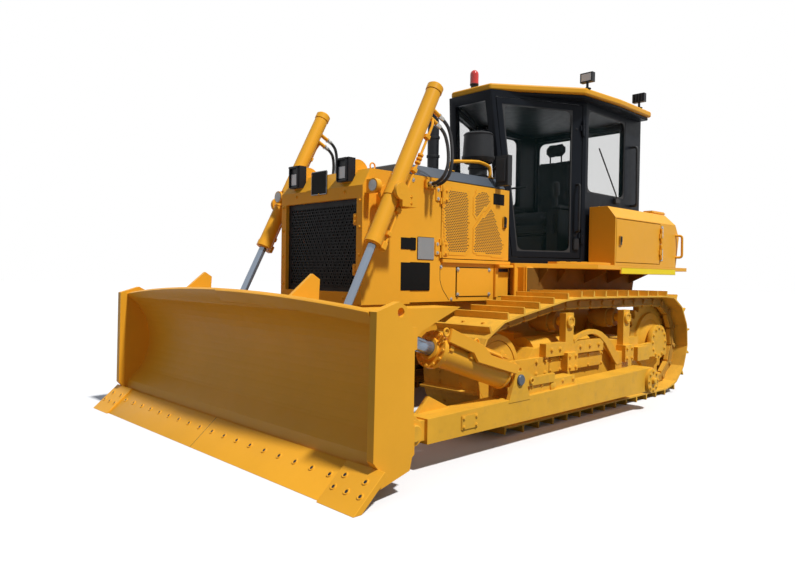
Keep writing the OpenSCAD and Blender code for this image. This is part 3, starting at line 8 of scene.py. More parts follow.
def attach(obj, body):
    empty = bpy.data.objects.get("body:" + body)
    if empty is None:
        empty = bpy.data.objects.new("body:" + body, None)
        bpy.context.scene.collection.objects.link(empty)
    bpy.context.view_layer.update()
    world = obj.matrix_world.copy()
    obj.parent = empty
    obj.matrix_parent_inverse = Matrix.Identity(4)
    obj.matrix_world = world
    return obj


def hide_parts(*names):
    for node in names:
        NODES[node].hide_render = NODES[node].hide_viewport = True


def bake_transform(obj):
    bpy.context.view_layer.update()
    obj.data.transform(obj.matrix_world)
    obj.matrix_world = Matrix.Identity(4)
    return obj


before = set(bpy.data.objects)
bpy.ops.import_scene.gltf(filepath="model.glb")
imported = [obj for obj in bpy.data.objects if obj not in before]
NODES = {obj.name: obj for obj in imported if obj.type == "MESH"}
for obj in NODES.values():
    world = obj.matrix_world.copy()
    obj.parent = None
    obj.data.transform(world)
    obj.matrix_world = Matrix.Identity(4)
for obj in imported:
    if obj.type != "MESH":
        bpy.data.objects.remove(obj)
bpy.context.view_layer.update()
SCENE = bpy.context.scene

# Camera at the photograph's viewing point, for an image of 795 by 572
CAM_AT = Vector((4.785, 4.097, 1.166))
CAM_AZ = math.radians(225.965)
CAM_EL = math.radians(-1.023)
CAM_ROLL = math.radians(0.867)
CAM_LENS, CAM_SENSOR = 30.15, 36.0


def make_camera():
    data = bpy.data.cameras.new("camera")
    data.sensor_width = CAM_SENSOR
    data.lens = CAM_LENS
    data.clip_start = 0.05
    data.clip_end = 200.0
    cam = bpy.data.objects.new("camera", data)
    SCENE.collection.objects.link(cam)
    level = math.cos(CAM_EL)
    fwd = Vector((level * math.cos(CAM_AZ), level * math.sin(CAM_AZ), math.sin(CAM_EL)))
    right = Vector((math.sin(CAM_AZ), -math.cos(CAM_AZ), 0))
    up = right.cross(fwd)
    r = math.cos(CAM_ROLL) * right + math.sin(CAM_ROLL) * up
    u = math.cos(CAM_ROLL) * up - math.sin(CAM_ROLL) * right
    m = Matrix((r, u, -fwd)).transposed().to_4x4()
    m.translation = CAM_AT
    cam.matrix_world = m
    SCENE.camera = cam


make_camera()


# Material building
def new_material(name):
    mat = bpy.data.materials.new(name)
    mat.use_nodes = True
    tree = mat.node_tree
    return mat, tree, tree.nodes["Principled BSDF"]


def add(tree, kind, **values):
    node = tree.nodes.new(kind)
    for key, value in values.items():
        if key in node.inputs:
            node.inputs[key].default_value = value
        else:
            setattr(node, key, value)
    return node


def noise(tree, scale, detail, rough=0.5):
    coords = tree.nodes.get("coords")
    if coords is None:
        coords = add(tree, "ShaderNodeTexCoord")
        coords.name = "coords"
    node = add(tree, "ShaderNodeTexNoise", Scale=scale, Detail=detail, Roughness=rough)
    tree.links.new(coords.outputs["Object"], node.inputs["Vector"])
    return node


def ramp(tree, source, stops):
    node = add(tree, "ShaderNodeValToRGB")
    while len(node.color_ramp.elements) < len(stops):
        node.color_ramp.elements.new(0.5)
    for element, (at, value) in zip(node.color_ramp.elements, stops):
        element.position = at
        element.color = (*value, 1)
    tree.links.new(source, node.inputs["Fac"])
    return node


def shade(color, k):
    return tuple(min(1.0, c * k) for c in color)


def bumped(tree, bsdf, source, strength, distance):
    bump = add(tree, "ShaderNodeBump", Strength=strength, Distance=distance)
    tree.links.new(source, bump.inputs["Height"])
    tree.links.new(bump.outputs["Normal"], bsdf.inputs["Normal"])


# Paint, plastic, rubber or metal: broad colour change, patches in roughness, fine grain in bump
def coating(name, color, rough, metallic=0.0, coat=0.0, grain=420.0, bump=0.12, spread=0.06, dust=None,
            broad=1.7, gloss=0.5):
    mat, tree, bsdf = new_material(name)
    wide = noise(tree, broad, 5.0, 0.6)
    tint = ramp(tree, wide.outputs["Fac"],
                [(0.30, shade(color, 1 - spread)), (0.52, color), (0.74, shade(color, 1 + spread))])
    out = tint.outputs["Color"]
    if dust:
        spots = noise(tree, 9.0, 8.0, 0.7)
        mask = ramp(tree, spots.outputs["Fac"], [(0.52, (0, 0, 0)), (0.75, (0.35, 0.35, 0.35))])
        mix = add(tree, "ShaderNodeMix", data_type="RGBA")
        tree.links.new(mask.outputs["Color"], mix.inputs["Factor"])
        tree.links.new(out, mix.inputs[6])
        mix.inputs[7].default_value = (*dust, 1)
        out = mix.outputs[2]
    tree.links.new(out, bsdf.inputs["Base Color"])
    fine = noise(tree, grain, 2.0, 0.5)
    sheen = ramp(tree, noise(tree, 14.0, 6.0, 0.65).outputs["Fac"],
                 [(0.3, (rough * 0.85,) * 3), (0.7, (min(1, rough * 1.18),) * 3)])
    tree.links.new(sheen.outputs["Color"], bsdf.inputs["Roughness"])
    bsdf.inputs["Specular IOR Level"].default_value = gloss
    bsdf.inputs["Metallic"].default_value = metallic
    bsdf.inputs["Coat Weight"].default_value = coat
    bsdf.inputs["Coat Roughness"].default_value = 0.12
    bumped(tree, bsdf, fine.outputs["Fac"], bump, 0.0008)
    return mat


def glass_material(name, tint, alpha):
    mat, tree, bsdf = new_material(name)
    bsdf.inputs["Base Color"].default_value = (*tint, 1)
    bsdf.inputs["Alpha"].default_value = alpha
    bsdf.inputs["IOR"].default_value = 1.45
    bsdf.inputs["Specular IOR Level"].default_value = 0.12
    soft = ramp(tree, noise(tree, 3.0, 4.0).outputs["Fac"], [(0.3, (0.02,) * 3), (0.8, (0.06,) * 3)])
    tree.links.new(soft.outputs["Color"], bsdf.inputs["Roughness"])
    return mat


MAT = {
    "yellow": coating("machine_yellow", (0.86, 0.400, 0.028), 0.38, bump=0.08, spread=0.05, gloss=0.12),
    "yellow_track": coating("track_yellow", (0.80, 0.435, 0.050), 0.55, bump=0.3, spread=0.14, gloss=0.14,
                            dust=(0.20, 0.13, 0.06), broad=4.0),
    # A darker copy of the track's yellow for the chain links and rollers: painted shade of the undercarriage
    # gaps; its dust spots stay dust
    "yellow_chain_painted_shade": coating("chain_yellow_painted_shade", (0.44, 0.235, 0.040), 0.58, bump=0.3, spread=0.18, gloss=0.12,
                            dust=(0.14, 0.09, 0.05), broad=5.0),
    "yellow_low": coating("frame_yellow", (0.76, 0.395, 0.034), 0.48, bump=0.15, spread=0.09, gloss=0.12,
                          dust=(0.34, 0.19, 0.06), broad=3.0),
    "grey": coating("hood_grey", (0.066, 0.082, 0.104), 0.42, coat=0.1, bump=0.1, gloss=0.4),
    "black": coating("black_coat", (0.010, 0.011, 0.014), 0.42, bump=0.16, spread=0.2, gloss=0.25),
    "cab_black": coating("cab_coat", (0.008, 0.010, 0.014), 0.40, bump=0.1, spread=0.2, gloss=0.09),
    "plastic": coating("black_plastic", (0.016, 0.017, 0.019), 0.55, grain=700.0, bump=0.3, spread=0.2,
                       gloss=0.25),
    "rubber": coating("hose_rubber", (0.013, 0.013, 0.014), 0.62, grain=900.0, bump=0.35, spread=0.25),
    "grille": coating("grille_black", (0.007, 0.007, 0.008), 0.5, bump=0.2, spread=0.2, gloss=0.15),
    "core": coating("radiator_core", (0.02, 0.02, 0.02), 0.6, bump=0.2, spread=0.25),
    "engine": coating("engine_dark", (0.03, 0.03, 0.032), 0.6, bump=0.2, spread=0.2),
    # The rods' colour is part chrome's own grey and part a painted reflection of sky, darker and bluer than
    # bare chrome
    "chrome": coating("chrome_rod", (0.25, 0.30, 0.37), 0.16, metallic=0.6, bump=0.02, spread=0.03),
    "zinc": coating("zinc_bolts", (0.44, 0.43, 0.40), 0.40, metallic=1.0, bump=0.12, spread=0.1),
    "seat": coating("seat_fabric", (0.020, 0.021, 0.024), 0.85, grain=1400.0, bump=0.7, spread=0.3),
    "red": coating("beacon_red", (0.62, 0.018, 0.010), 0.22, coat=0.4, bump=0.03),
    "lens": coating("lamp_lens", (0.62, 0.64, 0.66), 0.16, coat=0.6, grain=180.0, bump=0.5),
    "mirror": coating("mirror_glass", (0.75, 0.78, 0.80), 0.06, metallic=1.0, bump=0.0, spread=0.02),
    "plate_black": coating("plate_black", (0.006, 0.006, 0.006), 0.45, bump=0.05, gloss=0.06),
    # Dark brown that paints the shade under the deck's overhang onto the fender walls and ribs
    "yellow_shade": coating("fender_shade", (0.20, 0.098, 0.020), 0.6, bump=0.2, spread=0.2, gloss=0.06,
                            broad=3.0),
    # A brighter, more saturated yellow for the strip along the deck's edge: a painted highlight of sun on
    # that edge
    "deck_edge_highlight": coating("deck_edge_highlight", (0.92, 0.70, 0.012), 0.42, bump=0.08, gloss=0.12),
    "plate_grey": coating("plate_grey", (0.26, 0.26, 0.26), 0.4, metallic=0.6, bump=0.08),
    "glass": glass_material("cab_glass", (0.012, 0.03, 0.03), 0.10),
}

NODE_MATERIALS = {
    "yellow": "main_frame radiator_guard hood_panels hood_rail platform cab_roof side_boxes fuel_tank "
              "drawbar lift_barrel_left lift_barrel_right moldboard cutting_edge brace tilt_barrel "
              "hood_door_left hood_door_right box_door_left box_door_right",
    "yellow_low": "track_frames final_drives idlers trunnion_caps left_arm right_arm",
    "yellow_track": "track_left track_right sprockets",
    # Rollers in the darker yellow of painted shade
    "yellow_chain_painted_shade": "track_rollers carrier_rollers",
    "grey": "hood_top",
    "cab_black": "cab_frame cab_door_left cab_door_right",
    "black": "exhaust_stack beacon front_lamps roof_lamps",
    "plastic": "precleaner mirrors console",
    "seat": "seat",
    "grille": "grille",
    "core": "radiator_core",
    "engine": "engine_block",
    "chrome": "lift_rod_left lift_rod_right tilt_rod",
    "glass": "cab_glass door_glass_left door_glass_right",
    "rubber": "hose_left_upper hose_left_lower hose_right_upper hose_right_lower",
}


def paint(obj, mat):
    obj.data.materials.clear()
    obj.data.materials.append(MAT[mat])


# Rounded edges for a solid, after its flat faces are made one
def round_edges(obj, width):
    weld = obj.modifiers.new("weld", "WELD")
    weld.merge_threshold = 0.00005
    flat = obj.modifiers.new("flat", "DECIMATE")
    flat.decimate_type = "DISSOLVE"
    flat.angle_limit = math.radians(0.5)
    bevel = obj.modifiers.new("bevel", "BEVEL")
    bevel.width = width
    bevel.segments = 2
    bevel.limit_method = "ANGLE"
    bevel.angle_limit = math.radians(32)
    bevel.use_clamp_overlap = True
    bevel.harden_normals = True


for mat_name, names in NODE_MATERIALS.items():
    for name in names.split():
        paint(NODES[name], mat_name)

# Widths of the rounded edges of the solids that stay in sight
BEVEL = {"radiator_guard": 0.014, "hood_top": 0.012, "cab_roof": 0.02, "side_boxes": 0.02, "fuel_tank": 0.03,
         "moldboard": 0.005, "left_arm": 0.008, "right_arm": 0.008, "hood_panels": 0.005, "platform": 0.008,
         "cab_frame": 0.01, "cab_door_left": 0.008, "cab_door_right": 0.008, "box_door_left": 0.006,
         "box_door_right": 0.006, "track_frames": 0.008, "main_frame": 0.008, "final_drives": 0.01,
         "cutting_edge": 0.003, "drawbar": 0.008, "seat": 0.03, "console": 0.02}
for name, width in BEVEL.items():
    round_edges(NODES[name], width)


# Mesh building, in mm as in the solids; piece() brings it to metres
MM = 0.001
SHARP_ANGLE = math.radians(35)
BEVEL_ANGLE = 0.5


def bevelled(part, width, segments=2):
    if width:
        bmesh.ops.recalc_face_normals(part, faces=part.faces)
        edges = [e for e in part.edges if len(e.link_faces) == 2 and e.calc_face_angle(0) > BEVEL_ANGLE]
        bmesh.ops.bevel(part, geom=edges, offset=width, segments=segments, affect="EDGES", clamp_overlap=True)


# Adds a part's faces to a mesh
def merge(bm, part):
    mesh = bpy.data.meshes.new("part")
    part.to_mesh(mesh)
    part.free()
    bm.from_mesh(mesh)
    bpy.data.meshes.remove(mesh)


# A named object that rides on a body
def piece(name, bm, mat, body="chassis"):
    mesh = bpy.data.meshes.new(name)
    bmesh.ops.recalc_face_normals(bm, faces=bm.faces)
    bmesh.ops.scale(bm, vec=(MM, MM, MM), verts=bm.verts)
    bm.to_mesh(mesh)
    bm.free()
    obj = bpy.data.objects.new(name, mesh)
    SCENE.collection.objects.link(obj)
    paint(obj, mat)
    mesh.shade_smooth()
    mesh.set_sharp_from_angle(angle=SHARP_ANGLE)
    if body:
        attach(obj, body)
    return obj


def basis(at, axis):
    return Matrix.Translation(at) @ Vector(axis).to_track_quat("Z", "Y").to_matrix().to_4x4()


# Places (a, b) on a circle; a closed one ends where it begins
def around(count, r, start=0.0, closed=False):
    turn = [start + 2 * math.pi * k / count for k in range(count + closed)]
    return [(r * math.cos(t), r * math.sin(t)) for t in turn]


# A profile of (radius, height) turned about an axis
def lathe(bm, profile, at, axis, sides):
    m = basis(at, axis)
    rings = []
    for r, h in profile:
        if r < 1e-6:
            rings.append([bm.verts.new(m @ Vector((0, 0, h)))])
        else:
            rings.append([bm.verts.new(m @ Vector((u, v, h))) for u, v in around(sides, r)])
    for a, b in zip(rings, rings[1:]):
        for k in range(sides):
            q = (k + 1) % sides
            if len(a) == 1 and len(b) > 1:
                bm.faces.new((a[0], b[k], b[q]))
            elif len(b) == 1 and len(a) > 1:
                bm.faces.new((a[k], a[q], b[0]))
            elif len(a) > 1:
                bm.faces.new((a[k], a[q], b[q], b[k]))


def bar(bm, a, b, r, sides, edge=2):
    a, b = Vector(a), Vector(b)
    l = (b - a).length
    lathe(bm, [(0, 0), (r - edge, 0), (r, edge), (r, l - edge), (r - edge, l), (0, l)], a, b - a, sides)


# A box with bevelled edges, placed by a matrix where one is given
def block(bm, x, y, z, width=4, segments=2, turn=None):
    part = bmesh.new()
    bmesh.ops.create_cube(part, size=1)
    mid = Vector((sum(x) / 2, sum(y) / 2, sum(z) / 2))
    size = (abs(x[1] - x[0]), abs(y[1] - y[0]), abs(z[1] - z[0]))
    bmesh.ops.scale(part, vec=size, verts=part.verts)
    bevelled(part, width, segments)
    bmesh.ops.transform(part, matrix=(turn or Matrix()) @ Matrix.Translation(mid), verts=part.verts)
    merge(bm, part)


# An outline of (a, b) points in the plane of u and v, carried along w
def prism(bm, points, at, u, v, depth, width=3, segments=2):
    u, v, at = Vector(u).normalized(), Vector(v).normalized(), Vector(at)
    w = u.cross(v)
    part = bmesh.new()
    low = [part.verts.new(at + a * u + b * v) for a, b in points]
    high = [part.verts.new(at + a * u + b * v + depth * w) for a, b in points]
    part.faces.new(low[::-1])
    part.faces.new(high)
    for k in range(len(points)):
        q = (k + 1) % len(points)
        part.faces.new((low[k], low[q], high[q], high[k]))
    bevelled(part, width, segments)
    merge(bm, part)


# A smooth curve through all points
def smooth_path(points, steps):
    pts = [Vector(p) for p in points]
    out = []
    for i in range(len(pts) - 1):
        a, b, c, d = pts[max(i - 1, 0)], pts[i], pts[i + 1], pts[min(i + 2, len(pts) - 1)]
        for k in range(steps):
            t = k / steps
            out.append(0.5 * (2 * b + (c - a) * t + (2 * a - 5 * b + 4 * c - d) * t * t
                              + (3 * b - a - 3 * c + d) * t ** 3))
    return out + [pts[-1]]


# The curve from p round the corner b to q
def rounded(p, b, q, steps):
    shares = [i / steps for i in range(steps + 1)]
    return [(1 - t) ** 2 * p + 2 * t * (1 - t) * b + t * t * q for t in shares]


# A corner path with its corners rounded off
def filleted(points, r, steps=5):
    pts = [Vector(p) for p in points]
    out = [pts[0]]
    for a, b, c in zip(pts, pts[1:], pts[2:]):
        k = min(r, (a - b).length * 0.45, (c - b).length * 0.45)
        out += rounded(b + (a - b).normalized() * k, b, b + (c - b).normalized() * k, steps)
    return out + [pts[-1]]


# A round tube along a path
def sweep(bm, path, r, sides):
    path = [Vector(p) for p in path]
    n = len(path)
    tangent = [(path[min(i + 1, n - 1)] - path[max(i - 1, 0)]).normalized() for i in range(n)]
    side = tangent[0].orthogonal().normalized()
    rings = []
    for i in range(n):
        side = (side - side.dot(tangent[i]) * tangent[i]).normalized()
        other = tangent[i].cross(side)
        rings.append([bm.verts.new(path[i] + u * side + v * other) for u, v in around(sides, r)])
    for a, b in zip(rings, rings[1:]):
        for k in range(sides):
            q = (k + 1) % sides
            bm.faces.new((a[k], a[q], b[q], b[k]))
    bm.faces.new(rings[0][::-1])
    bm.faces.new(rings[-1])


UP, FORE = (0, 0, 1), (1, 0, 0)
SIDES = (("left", 1), ("right", -1))
SIGNS = (1, -1)


# Points carried to the left (1) or the right (-1) side
def on_side(s, points):
    return [Vector((x, s * y, z)) for x, y, z in points]


def meshes(count):
    return [bmesh.new() for _ in range(count)]


# Matrix that carries x, y and z along u, v and w, from a place
def framed(at, u, v, w):
    return Matrix.Translation(at) @ Matrix((u, v, w)).transposed().to_4x4()


# Lathe profiles: a disc with a chamfer, the same with a dished middle, and a raised band
def cap(r, side, top_r, top, base=0):
    return [(0, base), (r, base), (r, side), (top_r, top), (0, top)]


def dish(r, side, top_r, top, rim_r, low_r, low):
    return [(0, 0), (r, 0), (r, side), (top_r, top), (rim_r, top), (low_r, low), (0, low)]


def band(low_r, high_r, edge, length):
    return [(low_r, 0), (high_r, edge), (high_r, length - edge), (low_r, length)]


# Hexagon-headed bolt on its washer
def bolt(bm, at, axis, r, washer=True):
    at, axis = Vector(at), Vector(axis).normalized()
    h = 0.2 * r
    if washer:
        lathe(bm, cap(1.75 * r, 0.7 * h, 1.6 * r, h), at, axis, 16)
    lathe(bm, cap(1.15 * r, 0.95 * r, 0.95 * r, 1.15 * r, 0.5 * h), at, axis, 6)


def bolts_at(bm, places, axis, r, washer=True):
    for at in places:
        bolt(bm, at, axis, r, washer)


# Hoses of the lift cylinders, along the routes of their solids
HOSE_R = 13
ROUTES = {
    "upper": [(1057.8, 681, 2353.4), (1019.5, 681, 2333.8), (975, 686, 2290), (951, 694, 2215),
              (944, 702, 2110), (946, 702, 2010), (948, 675, 1930), (950, 625, 1885), (950, 575, 1870),
              (950, 532, 1870)],
    "lower": [(1089.5, 681, 2291.0), (1051.2, 681, 2271.5), (1008, 684, 2228), (986, 693, 2150),
              (984, 702, 2060), (994, 702, 1985), (1004, 675, 1920), (1010, 625, 1882), (1010, 575, 1870),
              (1010, 532, 1870)]}
SLEEVE = [(0, 0), (15.5, 0), (17, 3), (17, 30), (14.5, 34), (0, 34)]
NUT = [(0, 0), (21, 0), (21, 16), (0, 16)]


def hoses():
    for side, s in SIDES:
        frame_ends, barrel_ends = meshes(2)
        for which, route in ROUTES.items():
            line = smooth_path(on_side(s, route), 4)
            bm = bmesh.new()
            sweep(bm, line, HOSE_R, 14)
            tube = piece(f"hose_tube_{side}_{which}", bm, "rubber", None)
            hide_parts(f"hose_{side}_{which}")
            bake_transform(tube)
            first = line[1] - line[0]
            lathe(frame_ends, SLEEVE, line[-1], line[-2] - line[-1], 16)
            lathe(barrel_ends, SLEEVE, line[0], first, 16)
            lathe(frame_ends, NUT, line[-1] - Vector((0, s * 18, 0)), (0, s, 0), 6)
            lathe(barrel_ends, NUT, line[0] - first.normalized() * 20, first, 6)
        for body, bm in (("chassis", frame_ends), (f"{side}_lift_barrel", barrel_ends)):
            piece(f"hose_ends_{side}_{body}", bm, "zinc", body)


# Line of the chain's pins, in the plane of x and z
SPROCKET, SPROCKET_R = Vector((-1820, 520)), 408
IDLER, IDLER_R = Vector((815, 450)), 338
ON_CARRIERS = [Vector((-978, 935)), Vector((-9, 935))]
GROUND_RUN_Z = 112
PINS = 38


def pin_line():
    def angle(a, b):
        return math.atan2(b.y - a.y, b.x - a.x)

    def arc(c, r, start, end):
        turn = [start + (end - start) * k / 60 for k in range(61)]
        return [c + r * Vector((math.cos(t), math.sin(t))) for t in turn]

    rear, front = ON_CARRIERS
    leave = angle(SPROCKET, rear) + math.acos(SPROCKET_R / (rear - SPROCKET).length)
    meet = angle(IDLER, front) - math.acos(IDLER_R / (front - IDLER).length)
    path = [Vector((IDLER.x, GROUND_RUN_Z)), Vector((SPROCKET.x, GROUND_RUN_Z))]
    path += arc(SPROCKET, SPROCKET_R, math.radians(270), leave) + ON_CARRIERS
    path += arc(IDLER, IDLER_R, meet, -math.pi / 2)
    step = sum((b - a).length for a, b in zip(path, path[1:])) / PINS
    pins, gone, want = [], 0, 0
    for a, b in zip(path, path[1:]):
        l = (b - a).length
        while want < gone + l - 1e-9 and len(pins) < PINS:
            pins.append(a + (b - a) * ((want - gone) / l))
            want += step
        gone += l
    return pins


# Outline of a link plate: shares of the pitch, and heights
LINK = [(-0.56, 20), (-0.46, 34), (-0.1, 26), (0.1, 26), (0.46, 34), (0.56, 20), (0.56, -20), (0.46, -34),
        (-0.46, -34), (-0.56, -20)]


# Link plates, pin ends and shoe bolts round the track loops
def track_details():
    pins = pin_line()
    for side, s in SIDES:
        bolts, links = meshes(2)
        for a, b in zip(pins, pins[1:] + pins[:1]):
            d = (b - a).normalized()
            l = (b - a).length
            mid = (a + b) / 2
            out = Vector((-d.y, d.x))
            for share in (0.24, 0.60):
                p = a + d * l * share + out * 62
                bolts_at(bolts, [(p.x, s * y, p.y) for y in (845, 1035)], (out.x, 0, out.y), 11, False)
            for y, w in ((1054.5, 13), (825.5, -13)):
                prism(links, [(u * l, v) for u, v in LINK], (mid.x, s * y, mid.y), (d.x, 0, d.y),
                      (out.x, 0, out.y), -s * w, 3, 1)
                lathe(links, cap(24, 22, 19, 27), (a.x, s * y, a.y), (0, s * w, 0), 16)
        piece(f"shoe_bolts_{side}", bolts, "yellow_track")
        piece(f"chain_links_{side}", links, "yellow_chain_painted_shade")


# Outline of the curved strap between the carrier posts
STRAP_TOP = [(-75, 650), (-150, 690), (-245, 712), (-340, 722), (-430, 716), (-530, 690), (-630, 640),
             (-730, 565), (-830, 470), (-915, 385)]
STRAP_FOOT = [(-75, 615), (-160, 652), (-250, 672), (-340, 680), (-420, 672), (-500, 640), (-580, 590),
              (-660, 510), (-740, 430), (-800, 375)]
POSTS_X = (-9, -978)
ROLLERS_X = [440 - 330 * i for i in range(6)]
TRUNNION_X, TRUNNION_Y, TRUNNION_Z = -900, 1471.3, 262


# Bolts and covers of the track frames
def frame_details():
    bolts, covers = meshes(2)
    for s in SIGNS:
        out = (0, s, 0)
        for x in POSTS_X:
            bolts_at(bolts, [(x + dx, s * 1206, z) for dx in (-45, 45) for z in (430, 520)], out, 11)
            lathe(covers, dish(52, 14, 46, 20, 30, 26, 14), (x, s * 1172, 797), out, 28)
            ring = around(4, 40, math.pi / 4)
            bolts_at(bolts, [(x + a, s * 1190, 797 + b) for a, b in ring], out, 6, False)
        bolts_at(bolts, [(x, s * 1172, 585) for x in (-480, -330, -180, 130, 250)], out, 12)
        bolts_at(bolts, [(x, s * 1146, z) for x in (300, 420, 700, 820) for z in (500, 405)], out, 12)
        lathe(covers, dish(75, 18, 66, 26, 30, 24, 18), (815, s * 1146, 450), out, 32)
        bolts_at(bolts, [(815 + a, s * 1170, 450 + b) for a, b in around(6, 55)], out, 7, False)
        lathe(covers, [(95.5, 0), (95.5, 14), (228, 14), (231.5, 10), (231.5, 0)],
              (815, s * 1047, 450), out, 48)
        lathe(covers, cap(26, 4, 20, 6), (745, s * 1061, 580), out, 20)
        prism(covers, STRAP_TOP + STRAP_FOOT[::-1], (0, s * 1146, 0), FORE, UP, -s * 30, 4)
        bolts_at(bolts, [(-1820 + a, s * 1096, 520 + b) for a, b in around(12, 140)], out, 11)
        for x in ROLLERS_X:
            lathe(covers, cap(40, 12, 34, 18), (x, s * 1112, 260), out, 24)
            bolts_at(bolts, [(x + dx, s * 1112, 262) for dx in (-72, 72)], out, 10)
        for x in ((-600, -120), (60, 240)):
            block(covers, x, (s * 1112.5, s * 1142), (395, 520), 6)
        places = [(x, z) for x in (-580, -360, -140, 80, 220) for z in (415, 500)]
        bolts_at(bolts, [(x, s * 1142, z) for x, z in places], out, 9)
        lathe(covers, cap(28, 20, 22, 26), (TRUNNION_X, s * TRUNNION_Y, TRUNNION_Z), out, 24)
    piece("frame_bolts", bolts, "yellow_low")
    piece("frame_covers", covers, "yellow_low")


# Plane of the cutting edge's face: down along it, out from it, and its upper edge
EDGE_D, EDGE_N = Vector((0.7500, 0, -0.6615)), Vector((0.6615, 0, 0.7500))
EDGE_TOP = Vector((2520, 0, 172))
PLOW_HEAD = [(0, 1.5), (9, 1.5), (11, 4), (17, 5), (20, 0)]
# Profile of a black disc in each plow bolt's hollow: painted shade of the bolt hole
BOLT_HOLE_SHADE = [(0, 3.2), (9.5, 3.2), (10.5, 2.5), (10.5, 0.5), (0, 0.5)]
LIFT_Y = 681
ARM_Y = 1360


# Bolts and seam of the cutting edge and end bits, black discs of painted shade in the bolt heads' hollows,
# pins behind the blade, and the strip on its crest
def blade_details():
    bolts, seams, hole_shade, pins, strip = meshes(5)
    for s in SIGNS:
        places = [EDGE_D * 105 + Vector((0, s * (85 + i * 157), 0)) for i in range(9)]
        for down, ys in ((85, (1460, 1620)), (165, (1440, 1545, 1650))):
            places += [EDGE_N * 12 + EDGE_D * down + Vector((0, s * y, 0)) for y in ys]
        for p in places:
            lathe(bolts, PLOW_HEAD, EDGE_TOP + p, EDGE_N, 20)
            lathe(hole_shade, BOLT_HOLE_SHADE, EDGE_TOP + p, EDGE_N, 14)
        prism(bolts, [(0, -12), (246, -12), (246, 10), (0, 10)],
              EDGE_TOP + EDGE_N * 11 + Vector((0, s * 1682, 0)), EDGE_D, (0, 1, 0), -22, 4)
    prism(seams, [(0, -2), (258, -2), (258, 2), (0, 2)], EDGE_TOP + EDGE_N * 0.2,
          EDGE_D, (0, 1, 0), -1, 0)
    piece("edge_bolts", bolts, "yellow", "blade")
    piece("edge_seam", seams, "black", "blade")
    piece("edge_hole_shade", hole_shade, "black", "blade")
    for s in SIGNS:
        for way in (-1, 1):
            axis = (0, s * way, 0)
            lathe(pins, dish(34, 12, 30, 16, 12, 10, 10),
                  (2131, s * (LIFT_Y + way * 137), 580), axis, 24)
            places = [(2131 + a, s * (LIFT_Y + way * 151), 580 + b) for a, b in around(3, 26)]
            bolts_at(pins, places, axis, 5, False)
        for way in SIGNS:
            lathe(pins, cap(50, 12, 44, 18), (2092, s * (ARM_Y + way * 105), 262),
                  (0, s * way, 0), 28)
        lathe(pins, dish(60, 10, 52, 16, 20, 16, 10), (2200, s * 1470, 830),
              (0, s, 0), 28)
    piece("blade_pins", pins, "yellow_low", "blade")
    crest = [(y, 80 * (1 - (y / 1595) ** 2)) for y in [20 + 1500 * k / 12 for k in range(13)]]
    loop = [(y, h + 17.5) for y, h in crest] + [(y, h - 55) for y, h in crest[::-1]]
    lean = math.radians(35)
    rise = Vector((math.sin(lean), 0, math.cos(lean)))
    out = Vector((math.cos(lean), 0, -math.sin(lean)))
    prism(strip, [(y, h / math.cos(lean)) for y, h in loop], Vector((2464.7, 0, 957.6)) + out * 18.8,
          (0, 1, 0), rise, 10, 2, 1)
    piece("blade_strip", strip, "yellow", "blade")


# Frame of the tilt cylinder: along its axis, across, and up from it
TILT_AT = Vector((1054, ARM_Y, 462))
TILT_U = Vector((1146, 0, 368)).normalized()
TILT_V = Vector((-368, 0, 1146)).normalized()
TILT_PIPE = [(760, 60, 85), (760, 88, 100), (250, 88, 100), (170, 60, 60)]
TILT_GUARD = [(1815, 766), (1585, 683), (1540, 622), (1125, 508), (1092, 567), (1404, 659),
              (1491, 730), (1792, 848)]


def tilt_point(l, y, h):
    return TILT_AT + TILT_U * l + Vector((0, y, 0)) + TILT_V * h


# Tilt cylinder: flange bolts, bands, pipe, guard and lifting rings
def tilt_details():
    bolts, ring = meshes(2)
    for a, b in around(12, 103):
        bolt(bolts, tilt_point(840, a, b), TILT_U, 10, False)
        bolt(bolts, tilt_point(806, a, b), -TILT_U, 10, False)
    lathe(ring, [(46, 0), (72, 0), (72, 12), (66, 18), (48, 18), (46, 16)],
          tilt_point(840, 0, 0), TILT_U, 40)
    for l in (118, 780):
        lathe(ring, band(90.5, 97, 2, 20), tilt_point(l, 0, 0), TILT_U, 40)
    bolts_at(bolts, [tilt_point(l, y, 120) for l in (185, 690) for y in (60, -60)], TILT_V, 10)
    sweep(ring, [tilt_point(430 + a, 0, 143 + b) for a, b in around(24, 24, closed=True)], 6, 8)
    sweep(ring, filleted([tilt_point(*p) for p in TILT_PIPE], 50), 10, 10)
    prism(ring, TILT_GUARD, (0, 1478, 0), FORE, UP, 22, 4)
    for l in (300, 560, 760):
        block(ring, (-20, 20), (50, 100), (-18, 18), 4, 2,
              framed(tilt_point(l, 0, 30), TILT_U, (0, 1, 0), TILT_V))
    sweep(ring, [(1833 + a, 1467, 825 + b) for a, b in around(24, 22, closed=True)], 7, 8)
    piece("tilt_bolts", bolts, "yellow", "tilt_cylinder_barrel")
    piece("tilt_rings", ring, "yellow", "tilt_cylinder_barrel")


CLEVIS_GUARD = [(1020, 400), (1020, 540), (841, 462), (600, 468), (600, 400)]


